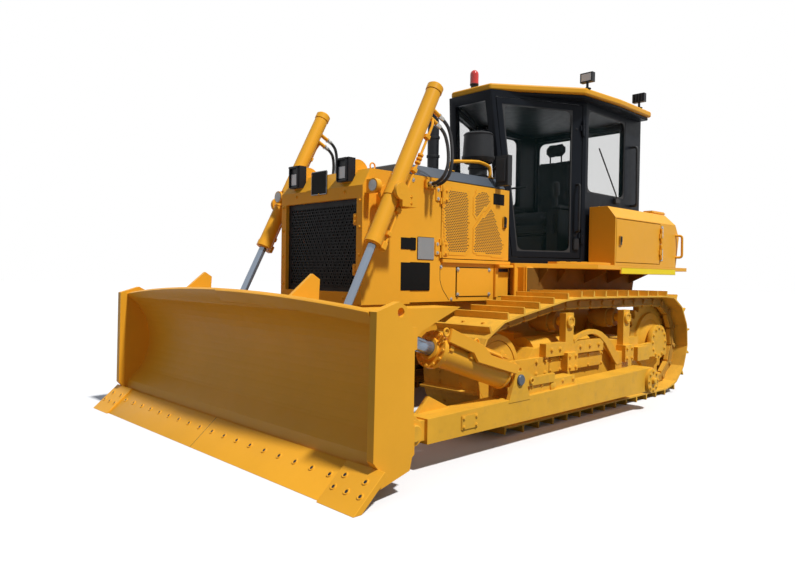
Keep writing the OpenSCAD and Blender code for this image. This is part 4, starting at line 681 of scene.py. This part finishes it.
# Push arms: clevis pins, plates, the guard before the left clevis, and the trunnion caps' bolts
def arm_details():
    for side, s in SIDES:
        pin, plates = meshes(2)
        for way in SIGNS:
            lathe(pin, cap(38, 10, 32, 16), (1054, s * (ARM_Y + way * 89), 462),
                  (0, s * way, 0), 24)
        piece(f"clevis_pin_{side}", pin, "grey", f"{side}_push_arm")
        out = (0, s, 0)
        lathe(plates, cap(34, 8, 26, 12), (610, s * 1415, 372), out, 24)
        bolts_at(plates, [(x, s * 1415, 395) for x in (330, 470, 750, 870)], out, 9)
        block(plates, (1500, 1660), (s * 1444, s * 1452), (210, 300), 3)
        bolts_at(plates, [(x, s * 1452, z) for x in (1520, 1640) for z in (228, 282)], out, 8)
        if side == "left":
            prism(plates, CLEVIS_GUARD, (0, 1431.5, 0), FORE, UP, 28, 4)
            sweep(plates, [(903 + a, 1440, 440 + b) for a, b in around(20, 18, closed=True)], 6, 8)
        piece(f"arm_plates_{side}", plates, "yellow_low", f"{side}_push_arm")
    caps = bmesh.new()
    for s in SIGNS:
        places = [(TRUNNION_X + a, s * TRUNNION_Y, TRUNNION_Z + b) for a, b in around(8, 82)]
        bolts_at(caps, places, (0, s, 0), 10)
    piece("trunnion_bolts", caps, "yellow_low", "lift_carrier")


# Frame of a lift cylinder: along it from the trunnion to the rod's eye, and back from it
LIFT_D = Vector((593, 0, -1165)).normalized()
LIFT_N = Vector((LIFT_D.z, 0, -LIFT_D.x))
LIFT_PIPE = [(395, 50, 30), (395, 84, 30), (-640, 84, 30), (-690, 84, 4)]


def lift_point(s, l, back, y=0):
    return Vector((1538, s * (LIFT_Y + y), 1745)) + LIFT_D * l + LIFT_N * back


# Lift cylinders: pipes with clamps, end caps, and the yokes' discs and bolts
def lift_details():
    for side, s in SIDES:
        pipes, rings = meshes(2)
        sweep(pipes, filleted([lift_point(s, *p) for p in LIFT_PIPE], 30), 10, 10)
        for l in (-520, -230, 110, 300):
            block(pipes, (-18, 18), (-20, 20), (0, 42), 4, 1,
                  framed(lift_point(s, l, 54, 30), LIFT_D, (0, 1, 0), LIFT_N))
            bolt(pipes, lift_point(s, l, 96, 30), LIFT_N, 6, False)
        for l in (-372, -340, -308):
            lathe(pipes, band(10.5, 22, 0, 14), lift_point(s, l, 84, 30), LIFT_D, 18)
        block(pipes, (-30, 30), (-28, 28), (0, 45), 5, 1,
              framed(lift_point(s, 395, 50, 20), LIFT_D, (0, 1, 0), LIFT_N))
        lathe(rings, [(0, 0), (50, 0), (56, 6), (60, 12), (60, 14)],
              lift_point(s, -937, 0), LIFT_D, 40)
        bolts_at(rings, [lift_point(s, -924, a, b) for a, b in around(8, 48)], -LIFT_D, 7, False)
        lathe(rings, [(30.5, 0), (52, 0), (52, 4), (47, 8), (30.5, 8)],
              lift_point(s, 415, 0), LIFT_D, 40)
        piece(f"lift_pipes_{side}", pipes, "yellow", f"{side}_lift_barrel")
        piece(f"lift_rings_{side}", rings, "yellow", f"{side}_lift_barrel")
    discs, bolts = meshes(2)
    for s in SIGNS:
        lathe(discs, cap(40, 3, 36, 5), (1652, s * 590, 1790), FORE, 32)
        bolts_at(bolts, [(1450, s * y, z) for z in (1665, 1710) for y in (560, 770)], FORE, 10)
    piece("yoke_discs", discs, "plate_grey")
    piece("yoke_bolts", bolts, "yellow")


# Front of the radiator guard: lenses, blank badge plate, grille latches, bolts, lifting eye
def guard_details():
    lens, rim, bolts, trim, edge, latch = meshes(6)
    for s in SIGNS:
        block(lens, (1689.5, 1693.5), (s * 258, s * 344), (1858, 1948), 3)
        for y in (250, 352):
            block(rim, (1689, 1708), (s * y - 6, s * y + 6), (1840, 2005), 3)
        block(rim, (1689, 1712), (s * 244, s * 358), (1992, 2008), 3)
        block(rim, (1689, 1700), (s * 244, s * 358), (1840, 1852), 3)
        bolts_at(bolts, [(1670, s * 474, z) for z in (1075, 1300, 1500, 1690)], FORE, 9)
    bolts_at(bolts, [(1670, y, z) for y in (-300, 0, 300) for z in (1765, 985)], FORE, 9)
    block(trim, (1664, 1676), (-95, 95), (1762, 1944), 10, 3)
    piece("guard_lenses", lens, "lens")
    piece("lamp_rims", rim, "black")
    piece("guard_bolts", bolts, "yellow")
    piece("badge_plate", trim, "plate_black")
    for y in (-93, 93):
        block(edge, (1674, 1679), (y - 3, y + 3), (1765, 1941), 2)
    for z in (1766, 1940):
        block(edge, (1674, 1679), (-93, 93), (z - 3, z + 3), 2)
    piece("badge_edge", edge, "plate_grey")
    for z in ((1515, 1600), (1150, 1235)):
        block(latch, (1628, 1672), (400, 440), z, 6)
    bolts_at(latch, [(1672, 424, z) for z in (1540, 1575, 1175, 1210)], FORE, 7)
    sweep(latch, [(1450 + a, 359, 1972 + b) for a, b in around(24, 24, closed=True)], 6, 8)
    lathe(latch, [(0, 0), (18, 0), (18, 10), (9, 14), (9, 22), (0, 22)],
          (1450, 359, 1927), UP, 16)
    piece("guard_latches", latch, "yellow")


# Places on the hood's sides
HOOD_Y = 499.5
HINGES_Z = (1375, 1805)
HOOD_BOLTS = [(826, 1229), (696, 967), (1155, 1700), (1155, 1890)]
HOOD_SEAM = [(839, 1236), (836, 1124), (820, 1080), (799, 1044), (724, 962)]


# A flat piece on the hood's side
def flat(bm, s, x, z, thick=3, width=4):
    block(bm, x, (s * HOOD_Y, s * (HOOD_Y + thick)), z, width)


def hood_leaf(leaf, bolts, s, x, bolt_x):
    for z in HINGES_Z:
        flat(leaf, s, x, (z - 55, z + 55), 8.5)
        bolts_at(bolts, [(bolt_x, s * 508, z + dz) for dz in (-35, 35)], (0, s, 0), 8)


# Hood sides: blank plates, hinge leaves, latches, access cover, recess and seams
def hood_details():
    black, grey, leaves, seams, bolts = meshes(5)
    for s in SIGNS:
        flat(black, s, (958, 1284), (1040, 1260), 8)
        flat(black, s, (1119, 1287), (1352, 1448), 8)
        flat(grey, s, (914, 1103), (1282, 1458), 7)
        flat(seams, s, (195, 645), (985, 1233), 1.5, 1.2)
        flat(leaves, s, (199, 641), (989, 1229), 8, 6)
        bolts_at(bolts, [(x, s * 507.5, z) for x in (215, 625) for z in (1005, 1213)], (0, s, 0), 10)
        flat(seams, s, (-66, 140), (978, 1230), 1.2, 1)
        flat(leaves, s, (-60, 128), (982, 1200), 5)
        flat(leaves, s, (102, 145), (975, 1237), 22)
        flat(leaves, s, (-68, 830), (1262, 1291), 24)
        flat(leaves, s, (-68, 140), (1236, 1262), 60)
        bolts_at(bolts, [(x, s * 500, z) for x, z in HOOD_BOLTS], (0, s, 0), 9)
        hood_leaf(leaves, bolts, s, (845, 905), 878)
        flat(leaves, s, (920, 1040), (1835, 1905), 30.5, 6)
        sweep(seams, [(x, s * 500.4, z) for x, z in HOOD_SEAM], 2.2, 6)
        block(leaves, (-126, -112), (s * 490, s * 640), (965, 1243), 3)
        block(leaves, (-150, -60), (s * 560, s * 575), (965, 1243), 3)
    piece("hood_plates", black, "plate_black")
    piece("hood_plate_grey", grey, "plate_grey")
    piece("hood_leaves", leaves, "yellow")
    piece("hood_seams", seams, "black")
    piece("hood_bolts", bolts, "zinc")
    for side, s in SIDES:
        latch, leaf, plate = meshes(3)
        block(latch, (-20, 32), (s * 499, s * 517), (1583, 1688), 10, 3)
        block(latch, (-10, 22), (s * 514, s * 524), (1622, 1680), 5)
        lathe(latch, cap(9, 4, 6, 6), (6, s * 517, 1602), (0, s, 0), 16)
        piece(f"hood_latch_{side}", latch, "plastic", f"{side}_hood_door")
        hood_leaf(leaf, leaf, s, (750, 812), 778)
        piece(f"hood_door_leaf_{side}", leaf, "yellow", f"{side}_hood_door")
        flat(plate, s, (10, 165), (1785, 1880))
        piece(f"hood_door_plate_{side}", plate, "plate_black", f"{side}_hood_door")


# Outlines of a hood door's three perforated fields
FIELDS = [[(753, 1855), (512, 1862), (497, 1748), (500, 1385), (537, 1347), (740, 1341), (779, 1431),
           (803, 1691)],
          [(383, 1875), (243, 1880), (213, 1797), (390, 1649), (417, 1672), (415, 1822)],
          [(198, 1747), (163, 1733), (21, 1447), (32, 1342), (82, 1336), (422, 1359), (414, 1572)]]


def inside(field, x, z, margin):
    edges = list(zip(field, field[1:] + field[:1]))
    turn = 1 if sum(a[0] * b[1] - b[0] * a[1] for a, b in edges) > 0 else -1
    for (ax, az), (bx, bz) in edges:
        side = ((bx - ax) * (z - az) - (bz - az) * (x - ax)) / math.hypot(bx - ax, bz - az)
        if side * turn < margin:
            return False
    return True


# A sheet of cells, brick-wise: a frame round one hole each, or plain where cut is false
def punched(bm, cells, size, hole, top, low=None):
    w, h = size[0] / 2, size[1] / 2
    box = [(-w, -h), (0, -h), (w, -h), (w, 0), (w, h), (0, h), (-w, h), (-w, 0)]
    for u, v, cut in cells:
        out = [bm.verts.new(top(u + a, v + b)) for a, b in box]
        if not cut:
            bm.faces.new(out)
            continue
        rim = [bm.verts.new(top(u + a, v + b)) for a, b in hole]
        deep = [bm.verts.new(low(u + a, v + b)) for a, b in hole]
        for k in range(8):
            q = (k + 1) % 8
            bm.faces.new((out[k], out[q], rim[q], rim[k]))
            bm.faces.new((rim[k], rim[q], deep[q], deep[k]))
    bmesh.ops.remove_doubles(bm, verts=bm.verts, dist=0.02)


# Carries a sheet's outer edge back to the surface it lies on
def skirt(bm, axis, level, base):
    rim = [e for e in bm.edges if e.is_boundary and all(abs(v.co[axis] - level) < 0.01 for v in e.verts)]
    got = bmesh.ops.extrude_edge_only(bm, edges=rim)
    for v in got["geom"]:
        if isinstance(v, bmesh.types.BMVert):
            v.co[axis] = base


SLOT_PITCH = (27.0, 13.4)
SLOT_W, SLOT_H, SLOT_CUT = 11, 4.1, 2.6
SLOT_EDGE = SLOT_W - SLOT_CUT
SLOT = [(-SLOT_EDGE, -SLOT_H), (0, -SLOT_H), (SLOT_EDGE, -SLOT_H), (SLOT_W, 0), (SLOT_EDGE, SLOT_H),
        (0, SLOT_H), (-SLOT_EDGE, SLOT_H), (-SLOT_W, 0)]
SHEET_Y, HOLE_Y, SHADE_SHEET_Y = 503, 501.2, 500.8


# Perforated inserts of the hood doors, over a dark sheet of painted shade that stands for the dark inside
# seen through the holes
def perforations():
    wide, high = SLOT_PITCH
    for side, s in SIDES:
        def at_depth(y):
            return lambda x, z: (x, s * y, z)

        sheet, back = meshes(2)
        for field in FIELDS:
            xs, zs = zip(*field)
            cells = []
            for j in range(-2, int((max(zs) - min(zs)) / high) + 3):
                for i in range(-2, int((max(xs) - min(xs)) / wide) + 3):
                    x, z = min(xs) + (i + 0.5 * (j % 2)) * wide, min(zs) + (j + 0.5) * high
                    if inside(field, x, z, -14):
                        cells.append((x, z, inside(field, x, z, 7)))
            punched(sheet, cells, SLOT_PITCH, SLOT, at_depth(SHEET_Y), at_depth(HOLE_Y))
            # The dark sheet behind the holes is painted shade
            shade_cells = [(x, z, False) for x, z, cut in cells if cut]
            punched(back, shade_cells, SLOT_PITCH, SLOT, at_depth(SHADE_SHEET_Y))
        skirt(sheet, 1, s * SHEET_Y, s * HOOD_Y)
        piece(f"perforated_{side}", sheet, "yellow", f"{side}_hood_door")
        piece(f"perforated_shade_{side}", back, "core", f"{side}_hood_door")


MESH_PITCH, MESH_HOLE_R = (26.0, 22.6), 10.4
MESH_X = 1643.5


# Fine mesh on the front of the grille
def grille_mesh():
    wide, high = MESH_PITCH
    hole = around(8, MESH_HOLE_R, math.radians(225))
    cells = [((i - 15 + 0.5 * (j % 2)) * wide, 1068 + j * high, True) for j in range(27) for i in range(31)]
    sheet = bmesh.new()
    punched(sheet, cells, MESH_PITCH, hole, lambda y, z: (MESH_X, y, z),
            lambda y, z: (MESH_X - 2, y, z))
    skirt(sheet, 0, MESH_X, MESH_X - 4)
    piece("grille_mesh", sheet, "grille")


STACK, CLEANER = (330, -70), (75, 250)


# Bands of the exhaust stack and the pre-cleaner, and feet of the grab rail
def stack_details():
    bands, feet = meshes(2)
    for z in (2035, 2230, 2400):
        lathe(bands, band(52.5, 60, 2, 24), (*STACK, z), UP, 32)
    lathe(bands, [(53, 0), (85, 0), (85, 10), (60, 16), (53, 16)],
          (*STACK, 2030), UP, 32)
    lathe(bands, [(0, 0), (134, 0), (138, 6), (120, 22), (60, 32), (0, 34)],
          (*CLEANER, 2425), UP, 40)
    lathe(bands, band(83, 92, 3, 25), (*CLEANER, 2120), UP, 32)
    piece("stack_bands", bands, "plastic")
    for x in (70, 600):
        lathe(feet, cap(34, 6, 20, 10), (x, 385, 2029), UP, 20)
    piece("rail_feet", feet, "yellow")


# A flat seal between a window's edge and a rounded inner outline
def seal(bm, corners, width, radius, depth, steps=6):
    n = (corners[1] - corners[0]).cross(corners[3] - corners[0]).normalized()
    arcs = []
    for k in range(4):
        a, b, c = corners[k - 1], corners[k], corners[(k + 1) % 4]
        u, v = (a - b).normalized(), (c - b).normalized()
        half = u.angle(v) / 2
        inner = b + (u + v).normalized() * (width / math.sin(half))
        cut = radius / math.tan(half)
        arcs.append(rounded(inner + u * cut, inner, inner + v * cut, steps))
    part = bmesh.new()
    for k in range(4):
        b, c, arc, following = corners[k], corners[(k + 1) % 4], arcs[k], arcs[(k + 1) % 4]
        for p, q in zip(arc, arc[1:]):
            part.faces.new([part.verts.new(x) for x in (b, p, q)])
        part.faces.new([part.verts.new(x) for x in (b, arc[-1], following[0], c)])
    bmesh.ops.remove_doubles(part, verts=part.verts, dist=0.01)
    bmesh.ops.recalc_face_normals(part, faces=part.faces)
    got = bmesh.ops.extrude_face_region(part, geom=list(part.faces))
    raised = [g for g in got["geom"] if isinstance(g, bmesh.types.BMVert)]
    bmesh.ops.translate(part, vec=n * depth, verts=raised)
    merge(bm, part)


# The plane of a cab door: along it to the rear, and out from it, as on the left side
WALL_AT = Vector((-5, 213.47, 0))
WALL_U = Vector((-995, 491.53, 0)).normalized()
WALL_N = Vector((WALL_U.y, -WALL_U.x, 0))
DOOR_REAR = 1071.8
DOOR_GLASS_REAR = DOOR_REAR - 112
DOOR_GLASS_Z = (1400, 2760)


def wall_one(along, out, z, side=1):
    p = WALL_AT + WALL_U * along + WALL_N * out
    return Vector((p.x, side * p.y, z))


# Where the leaning front edge of a door's glass stands at a height
def glass_front(z):
    return (80 + 190 * (2880 - z) / 1600) * math.hypot(1, 0.49399) + 102


SIDE_WINDOW = [(-1040, 691, 1990), (-1800, 681.1, 1990), (-1800, 681.1, 2790), (-1040, 691, 2790)]
REAR_WINDOW = [(-2136.5, 615, 1990), (-2136.5, -615, 1990), (-2136.5, -615, 2790), (-2136.5, 615, 2790)]
WIPER = [(-1620, 712, 1960), (-1580, 718, 2020), (-1240, 712, 2440)]
CAB_RAIL = [(-1930, 690, 2550), (-1930, 765, 2550), (-1950, 765, 1930), (-1950, 690, 1930)]
ROOF_HALF = [(-160, 190), (-860, 720), (-1430, 760), (-2060, 745)]
LINER_HALF = [(-125, 220), (-845, 768), (-1437, 808), (-2105, 792)]
ROOF_LAMPS = [(-891, 771, 1), (-1900, 790, -1)]
ROOF_Z = 2945


# An outline in x and y, from its left half
def whole(half):
    return half + [(x, -y) for x, y in half[::-1]]


# Cab: seals, door grips and bolts, wipers, rails, roof, headliner and roof lamps
def cab_details():
    for side, s in SIDES:
        rim, grip, bolts, trim = meshes(4)
        z0, z1 = DOOR_GLASS_Z
        edge = [(glass_front(z0), z0), (DOOR_GLASS_REAR, z0), (DOOR_GLASS_REAR, z1), (glass_front(z1), z1)]
        seal(rim, [wall_one(along, -10, z, s) for along, z in edge][::s], 12, 75, 6)
        piece(f"door_seal_{side}", rim, "rubber", f"{side}_cab_door")
        grip_at = DOOR_GLASS_REAR + 55
        ends = [(0, 1600), (55, 1600), (55, 2050), (0, 2050)]
        sweep(grip, filleted([wall_one(grip_at, out, z, s) for out, z in ends], 40), 11, 10)
        rearward, outward = [Vector((v.x, s * v.y, 0)) for v in (WALL_U, WALL_N)]
        block(grip, (-30, 30), (-6, 18), (-55, 55), 6, 2,
              framed(wall_one(grip_at, 0, 1480, s), rearward, outward, UP))
        piece(f"door_grip_{side}", grip, "plastic", f"{side}_cab_door")
        places = [(DOOR_REAR + ds, z) for z in (1565, 2585) for ds in (-68.5, 12)]
        bolts_at(bolts, [wall_one(along, 0, z, s) for along, z in places], outward, 7)
        piece(f"door_bolts_{side}", bolts, "black", f"{side}_cab_door")
        seal(trim, on_side(s, SIDE_WINDOW)[::s], 12, 75, 10)
        sweep(trim, on_side(s, WIPER), 7, 8)
        block(trim, (-1660, -1560), (s * 698, s * 730), (1925, 1975), 6)
        sweep(trim, filleted(on_side(s, CAB_RAIL), 60), 14, 12)
        piece(f"window_trim_{side}", trim, "rubber")
    back, roof, liner, lens, lamps = meshes(5)
    seal(back, on_side(1, REAR_WINDOW), 20, 85, 10)
    piece("rear_seal", back, "rubber")
    prism(roof, whole(ROOF_HALF), (0, 0, 2944.5), FORE, (0, 1, 0), 16, 10, 3)
    for y in (300, -300):
        block(roof, (-1800, -1400), (y - 140, y + 140), (2958, 2985), 12, 3)
    piece("roof_cap", roof, "yellow")
    prism(liner, whole(LINER_HALF), (0, 0, 2850), FORE, (0, 1, 0), 30.5, 6)
    piece("headliner", liner, "cab_black")
    for s in SIGNS:
        for x, y, way in ROOF_LAMPS:
            block(lens, (x + way * 24, x + way * 28), (s * (y - 52), s * (y + 52)),
                  (3015, 3085), 3)
            for fin in [y - 55 + 31 * k for k in range(4)]:
                block(lamps, (x - way * 38, x - way * 24), (s * fin, s * (fin + 14)),
                      (3012, 3088), 2)
            lathe(lamps, cap(35, 6, 20, 12), (x, s * y, ROOF_Z), UP, 20)
    piece("roof_lens", lens, "lens")
    piece("roof_lamp_fins", lamps, "black")


BEACON = (-180, -22)
BEACON_BASE = [(0, 0), (42, 0), (42, 6), (34, 12), (34, 34), (42, 40),
               (42, 50), (0, 50)]


# Beacon: a ribbed dome on its base
def beacon_piece():
    dome, base = meshes(2)
    profile = [(0, 0), (40, 0), (41.5, 4)]
    profile += [(41 + 0.6 * (-1) ** k, 8 + 6 * k) for k in range(13)]
    turn = [math.pi / 2 * k / 8 for k in range(8)]
    profile += [(41 * math.cos(t), 90 + 45 * math.sin(t)) for t in turn] + [(0, 135)]
    lathe(dome, profile, (*BEACON, ROOF_Z + 50), UP, 40)
    lathe(base, BEACON_BASE, (*BEACON, ROOF_Z), UP, 40)
    obj = piece("beacon_dome", dome, "red")
    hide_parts("beacon")
    piece("beacon_base", base, "black")


# Mirrors: glass, backs and feet
def mirror_details():
    faces, backs = meshes(2)
    for s in SIGNS:
        block(faces, (62.5, 64.5), (s * 502, s * 608), (1963, 2193), 0.8, 1)
        block(backs, (122, 138), (s * 510, s * 600), (1975, 2183), 7, 3)
        lathe(backs, cap(26, 8, 18, 14), (8, s * 385, 2030), UP, 18)
    piece("mirror_faces", faces, "mirror")
    piece("mirror_backs", backs, "plastic")


HANDLE = [(-2340, 1017, 1622), (-2368, 1075, 1622), (-2375, 1075, 1390), (-2345, 1017, 1390)]
TREAD = [(-980, 900), (-980, 1000), (-740, 1000), (-400, 790), (-400, 690)]
# Outline of the dark sheet of painted shade on each fender wall
FENDER_SHADE_OUTLINE = [(-2070, 963), (-130, 963), (-130, 1238), (-2138, 1238)]
TANK_CAP = [(0, 0), (75, 0), (75, 20), (68, 28), (60, 50), (54, 56), (0, 56)]


# Side boxes, deck edge strip in a painted highlight and treads, a dark sheet of painted shade on the fender
# walls with ribs in the same painted shade, tank and drawbar pin
def rear_details():
    bars, trims, leaves, edge, treads, liner, ribs, tank, pin = meshes(9)
    for side, s in SIDES:
        latch = bmesh.new()
        block(latch, (-1135, -1090), (s * 1017, s * 1034), (1468, 1562), 8, 3)
        block(latch, (-1126, -1099), (s * 1030, s * 1040), (1500, 1555), 4)
        piece(f"box_latch_{side}", latch, "plastic", f"{side}_box_door")
        sweep(bars, filleted(on_side(s, HANDLE), 40), 13, 12)
        for z in (1405, 1645):
            block(leaves, (-2030, -1984), (s * 1017.5, s * 1022), (z - 62, z + 62), 3)
            places = [(-2012, s * 1022, z + dz) for dz in (-40, 0, 40)]
            bolts_at(leaves, places, (0, s, 0), 6, False)
        # Strip along the deck's side edge, in a painted highlight
        block(edge, (-2344, -1153), (s * 1017.5, s * 1020.5), (1202, 1258), 2)
        block(trims, (-2300, -1995), (s * 800, s * 920), (1839, 1875), 12, 3)
        bolts_at(trims, [(x, s * 800, 1840) for x in (-1100, -1500, -1900)], UP, 9)
        prism(treads, TREAD, (0, 0, 1280.2), FORE, (0, s, 0), s * 20, 3)
        for x in [-940 + 90 * k for k in range(6)]:
            y = 990 if x < -740 else 990 - 0.6176 * (x + 740)
            bar(treads, (x, s * (y - 75), 1300.5), (x, s * (y - 12), 1300.5), 4, 8, 1)
        # A flat dark sheet on each fender wall: painted shade where the deck's overhang shades the wall
        prism(liner, FENDER_SHADE_OUTLINE, (0, s * 660.2, 0), FORE, UP, -s * 4, 1, 1)
        # Ribs under the deck, coloured in the same painted shade as the sheet
        for x in (-320, -620, -1100, -1550, -2020):
            reach = 900 if x < -700 else 750
            rib = [(662, 1239), (reach, 1239), (reach, 1215), (662, 1105)]
            prism(ribs, rib, (x, 0, 0), (0, s, 0), UP, 14, 2)
    piece("deck_treads", treads, "yellow")
    piece("rear_handles", bars, "yellow")
    piece("fender_painted_shade", liner, "yellow_shade")
    piece("fender_ribs", ribs, "yellow_shade")
    piece("rear_trims", trims, "yellow")
    piece("box_leaves", leaves, "zinc")
    piece("deck_edge", edge, "deck_edge_highlight")
    lathe(tank, TANK_CAP, (-2420, 420, 1840), UP, 32)
    block(tank, (-2662, -2640), (-220, 220), (1400, 1700), 10, 3)
    bolts_at(tank, [(-2662, y, z) for y in (-190, 190) for z in (1430, 1670)], (-1, 0, 0), 10)
    piece("tank_details", tank, "yellow")
    lathe(pin, cap(40, 10, 30, 16), (-2623, 0, 720), UP, 28)
    lathe(pin, [(0, 0), (25.5, 0), (25.5, 235), (0, 235)], (-2623, 0, 500), UP, 24)
    piece("drawbar_pin", pin, "zinc")


# Takes the modifiers' result as the mesh
def settle(obj):
    graph = bpy.context.evaluated_depsgraph_get()
    mesh = bpy.data.meshes.new_from_object(obj.evaluated_get(graph))
    obj.modifiers.clear()
    obj.data = mesh


CLOTH_FRAMES = 12
MOST_SWELL = 0.018
SEAM_DEPTH = 0.006


# A padded cushion of the seat, swollen by cloth pressure, with sewn seams along it
def cushion(name, x, y, z, puff):
    part = bmesh.new()
    bmesh.ops.create_cube(part, size=1)
    bmesh.ops.scale(part, vec=(x[1] - x[0], y[1] - y[0], z[1] - z[0]), verts=part.verts)
    bevelled(part, 0.035, 3)
    mesh = bpy.data.meshes.new(name)
    part.to_mesh(mesh)
    part.free()
    obj = bpy.data.objects.new(name, mesh)
    SCENE.collection.objects.link(obj)
    mesh.transform(Matrix.Translation((sum(x) / 2, sum(y) / 2, sum(z) / 2)))
    mod = obj.modifiers.new("remesh", "REMESH")
    mod.mode = "VOXEL"
    mod.voxel_size = 0.012
    settle(obj)
    rest = [v.co.copy() for v in obj.data.vertices]
    cloth = obj.modifiers.new("cloth", "CLOTH")
    cloth.settings.use_pressure = True
    cloth.settings.uniform_pressure_force = puff
    cloth.settings.effector_weights.gravity = 0
    for f in range(1, CLOTH_FRAMES + 1):
        SCENE.frame_set(f)
    settle(obj)
    SCENE.frame_set(1)
    for v, r in zip(obj.data.vertices, rest):
        d = v.co - r
        if d.length > MOST_SWELL:
            v.co = r + d * (MOST_SWELL / d.length)
    for v in obj.data.vertices:
        groove = math.exp(-((v.co.y / 0.012) ** 2)) + math.exp(-(((abs(v.co.y) - 0.15) / 0.010) ** 2))
        v.co += v.normal * (-SEAM_DEPTH * groove)
    sub = obj.modifiers.new("sub", "SUBSURF")
    sub.levels = sub.render_levels = 1
    paint(obj, "seat")
    obj.data.shade_smooth()
    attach(obj, "chassis")


LEVER = [(0, 0), (28, 0), (34, 20), (30, 50), (36, 90), (30, 130),
         (12, 145), (0, 147)]


# Seat, armrests, levers, screen, pedals and dash bar
def cab_interior():
    cushion("seat_cushion", (-1.490, -1.010), (-0.240, 0.240), (1.715, 1.815), 3.0)
    cushion("seat_back", (-1.625, -1.525), (-0.235, 0.235), (1.74, 2.44), 3.0)
    cushion("seat_head", (-1.615, -1.535), (-0.130, 0.130), (2.475, 2.625), 2.0)
    base, levers = meshes(2)
    block(base, (-1440, -1060), (-190, 190), (1280, 1600), 20, 3)
    block(base, (-1500, -1000), (-250, 250), (1600, 1700), 20, 3)
    block(base, (-1645, -1622), (-220, 220), (1700, 2420), 10, 2)
    for y in (-70, 70):
        bar(base, (-1575, y, 2400), (-1575, y, 2500), 8, 10)
    shell = piece("seat_base", base, "plastic")
    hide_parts("seat")
    for s in SIGNS:
        lathe(levers, LEVER, (-1090, s * 330, 1990), (0.1, 0, 1), 20)
        block(levers, (-1460, -1060), (s * 275, s * 385), (1840, 1895), 20, 3)
        block(levers, (-1020, -980), (s * 290, s * 370), (1600, 1800), 10)
    block(levers, (-520, -360), (-130, 130), (1900, 2060), 20, 3)
    sweep(levers, [(-550, -340, 2020), (-550, 340, 2020)], 10, 10)
    for y in ((-150, -50), (50, 150)):
        block(levers, (-700, -540), y, (1281, 1420), 10)
    piece("cab_controls", levers, "plastic")


hoses()
track_details()
frame_details()
blade_details()
tilt_details()
arm_details()
lift_details()
guard_details()
hood_details()
perforations()
grille_mesh()
stack_details()
cab_details()
beacon_piece()
mirror_details()
rear_details()
cab_interior()


# Stage and light: camera, mirrors and glass see white, while the light on the object stays plain
FLOOR_HALF = 60.0
FLOOR_PLAIN, FLOOR_SEEN = 0.14, 0.86
SKY_PLAIN, SKY_SEEN = 0.22, 1.0
SKY_TINT = (0.86, 1.0, 1.22, 1)
SUN_STRENGTH = 3.7
SUN_FROM = Vector((-0.02, 0.52, 0.85))


def shown(tree):
    path = add(tree, "ShaderNodeLightPath")
    last = path.outputs["Is Camera Ray"]
    for name in ("Is Glossy Ray", "Is Transmission Ray"):
        both = add(tree, "ShaderNodeMath", operation="MAXIMUM")
        tree.links.new(last, both.inputs[0])
        tree.links.new(path.outputs[name], both.inputs[1])
        last = both.outputs[0]
    return last


def level(tree, seen, low, high):
    node = add(tree, "ShaderNodeMapRange")
    node.inputs["To Min"].default_value = low
    node.inputs["To Max"].default_value = high
    tree.links.new(seen, node.inputs["Value"])
    return node.outputs["Result"]


def make_stage():
    mesh = bpy.data.meshes.new("floor")
    corners = [(-FLOOR_HALF, -FLOOR_HALF, 0), (FLOOR_HALF, -FLOOR_HALF, 0), (FLOOR_HALF, FLOOR_HALF, 0),
               (-FLOOR_HALF, FLOOR_HALF, 0)]
    mesh.from_pydata(corners, [], [(0, 1, 2, 3)])
    floor = bpy.data.objects.new("floor", mesh)
    SCENE.collection.objects.link(floor)
    mat, tree, bsdf = new_material("floor_white")
    tree.links.new(level(tree, shown(tree), FLOOR_PLAIN, FLOOR_SEEN), bsdf.inputs["Base Color"])
    bsdf.inputs["Roughness"].default_value = 0.9
    mesh.materials.append(mat)
    world = bpy.data.worlds.new("world")
    SCENE.world = world
    world.use_nodes = True
    tree = world.node_tree
    back = tree.nodes["Background"]
    seen = shown(tree)
    tree.links.new(level(tree, seen, SKY_PLAIN, SKY_SEEN), back.inputs["Strength"])
    sky = add(tree, "ShaderNodeMix", data_type="RGBA")
    sky.inputs[6].default_value = SKY_TINT
    sky.inputs[7].default_value = (1, 1, 1, 1)
    tree.links.new(seen, sky.inputs["Factor"])
    tree.links.new(sky.outputs[2], back.inputs["Color"])
    lamp = bpy.data.lights.new("sun", "SUN")
    lamp.energy = SUN_STRENGTH
    lamp.angle = math.radians(4)
    sun = bpy.data.objects.new("sun", lamp)
    SCENE.collection.objects.link(sun)
    sun.rotation_mode = "QUATERNION"
    sun.rotation_quaternion = SUN_FROM.to_track_quat("Z", "Y")


make_stage()
SCENE.view_settings.view_transform = "Standard"
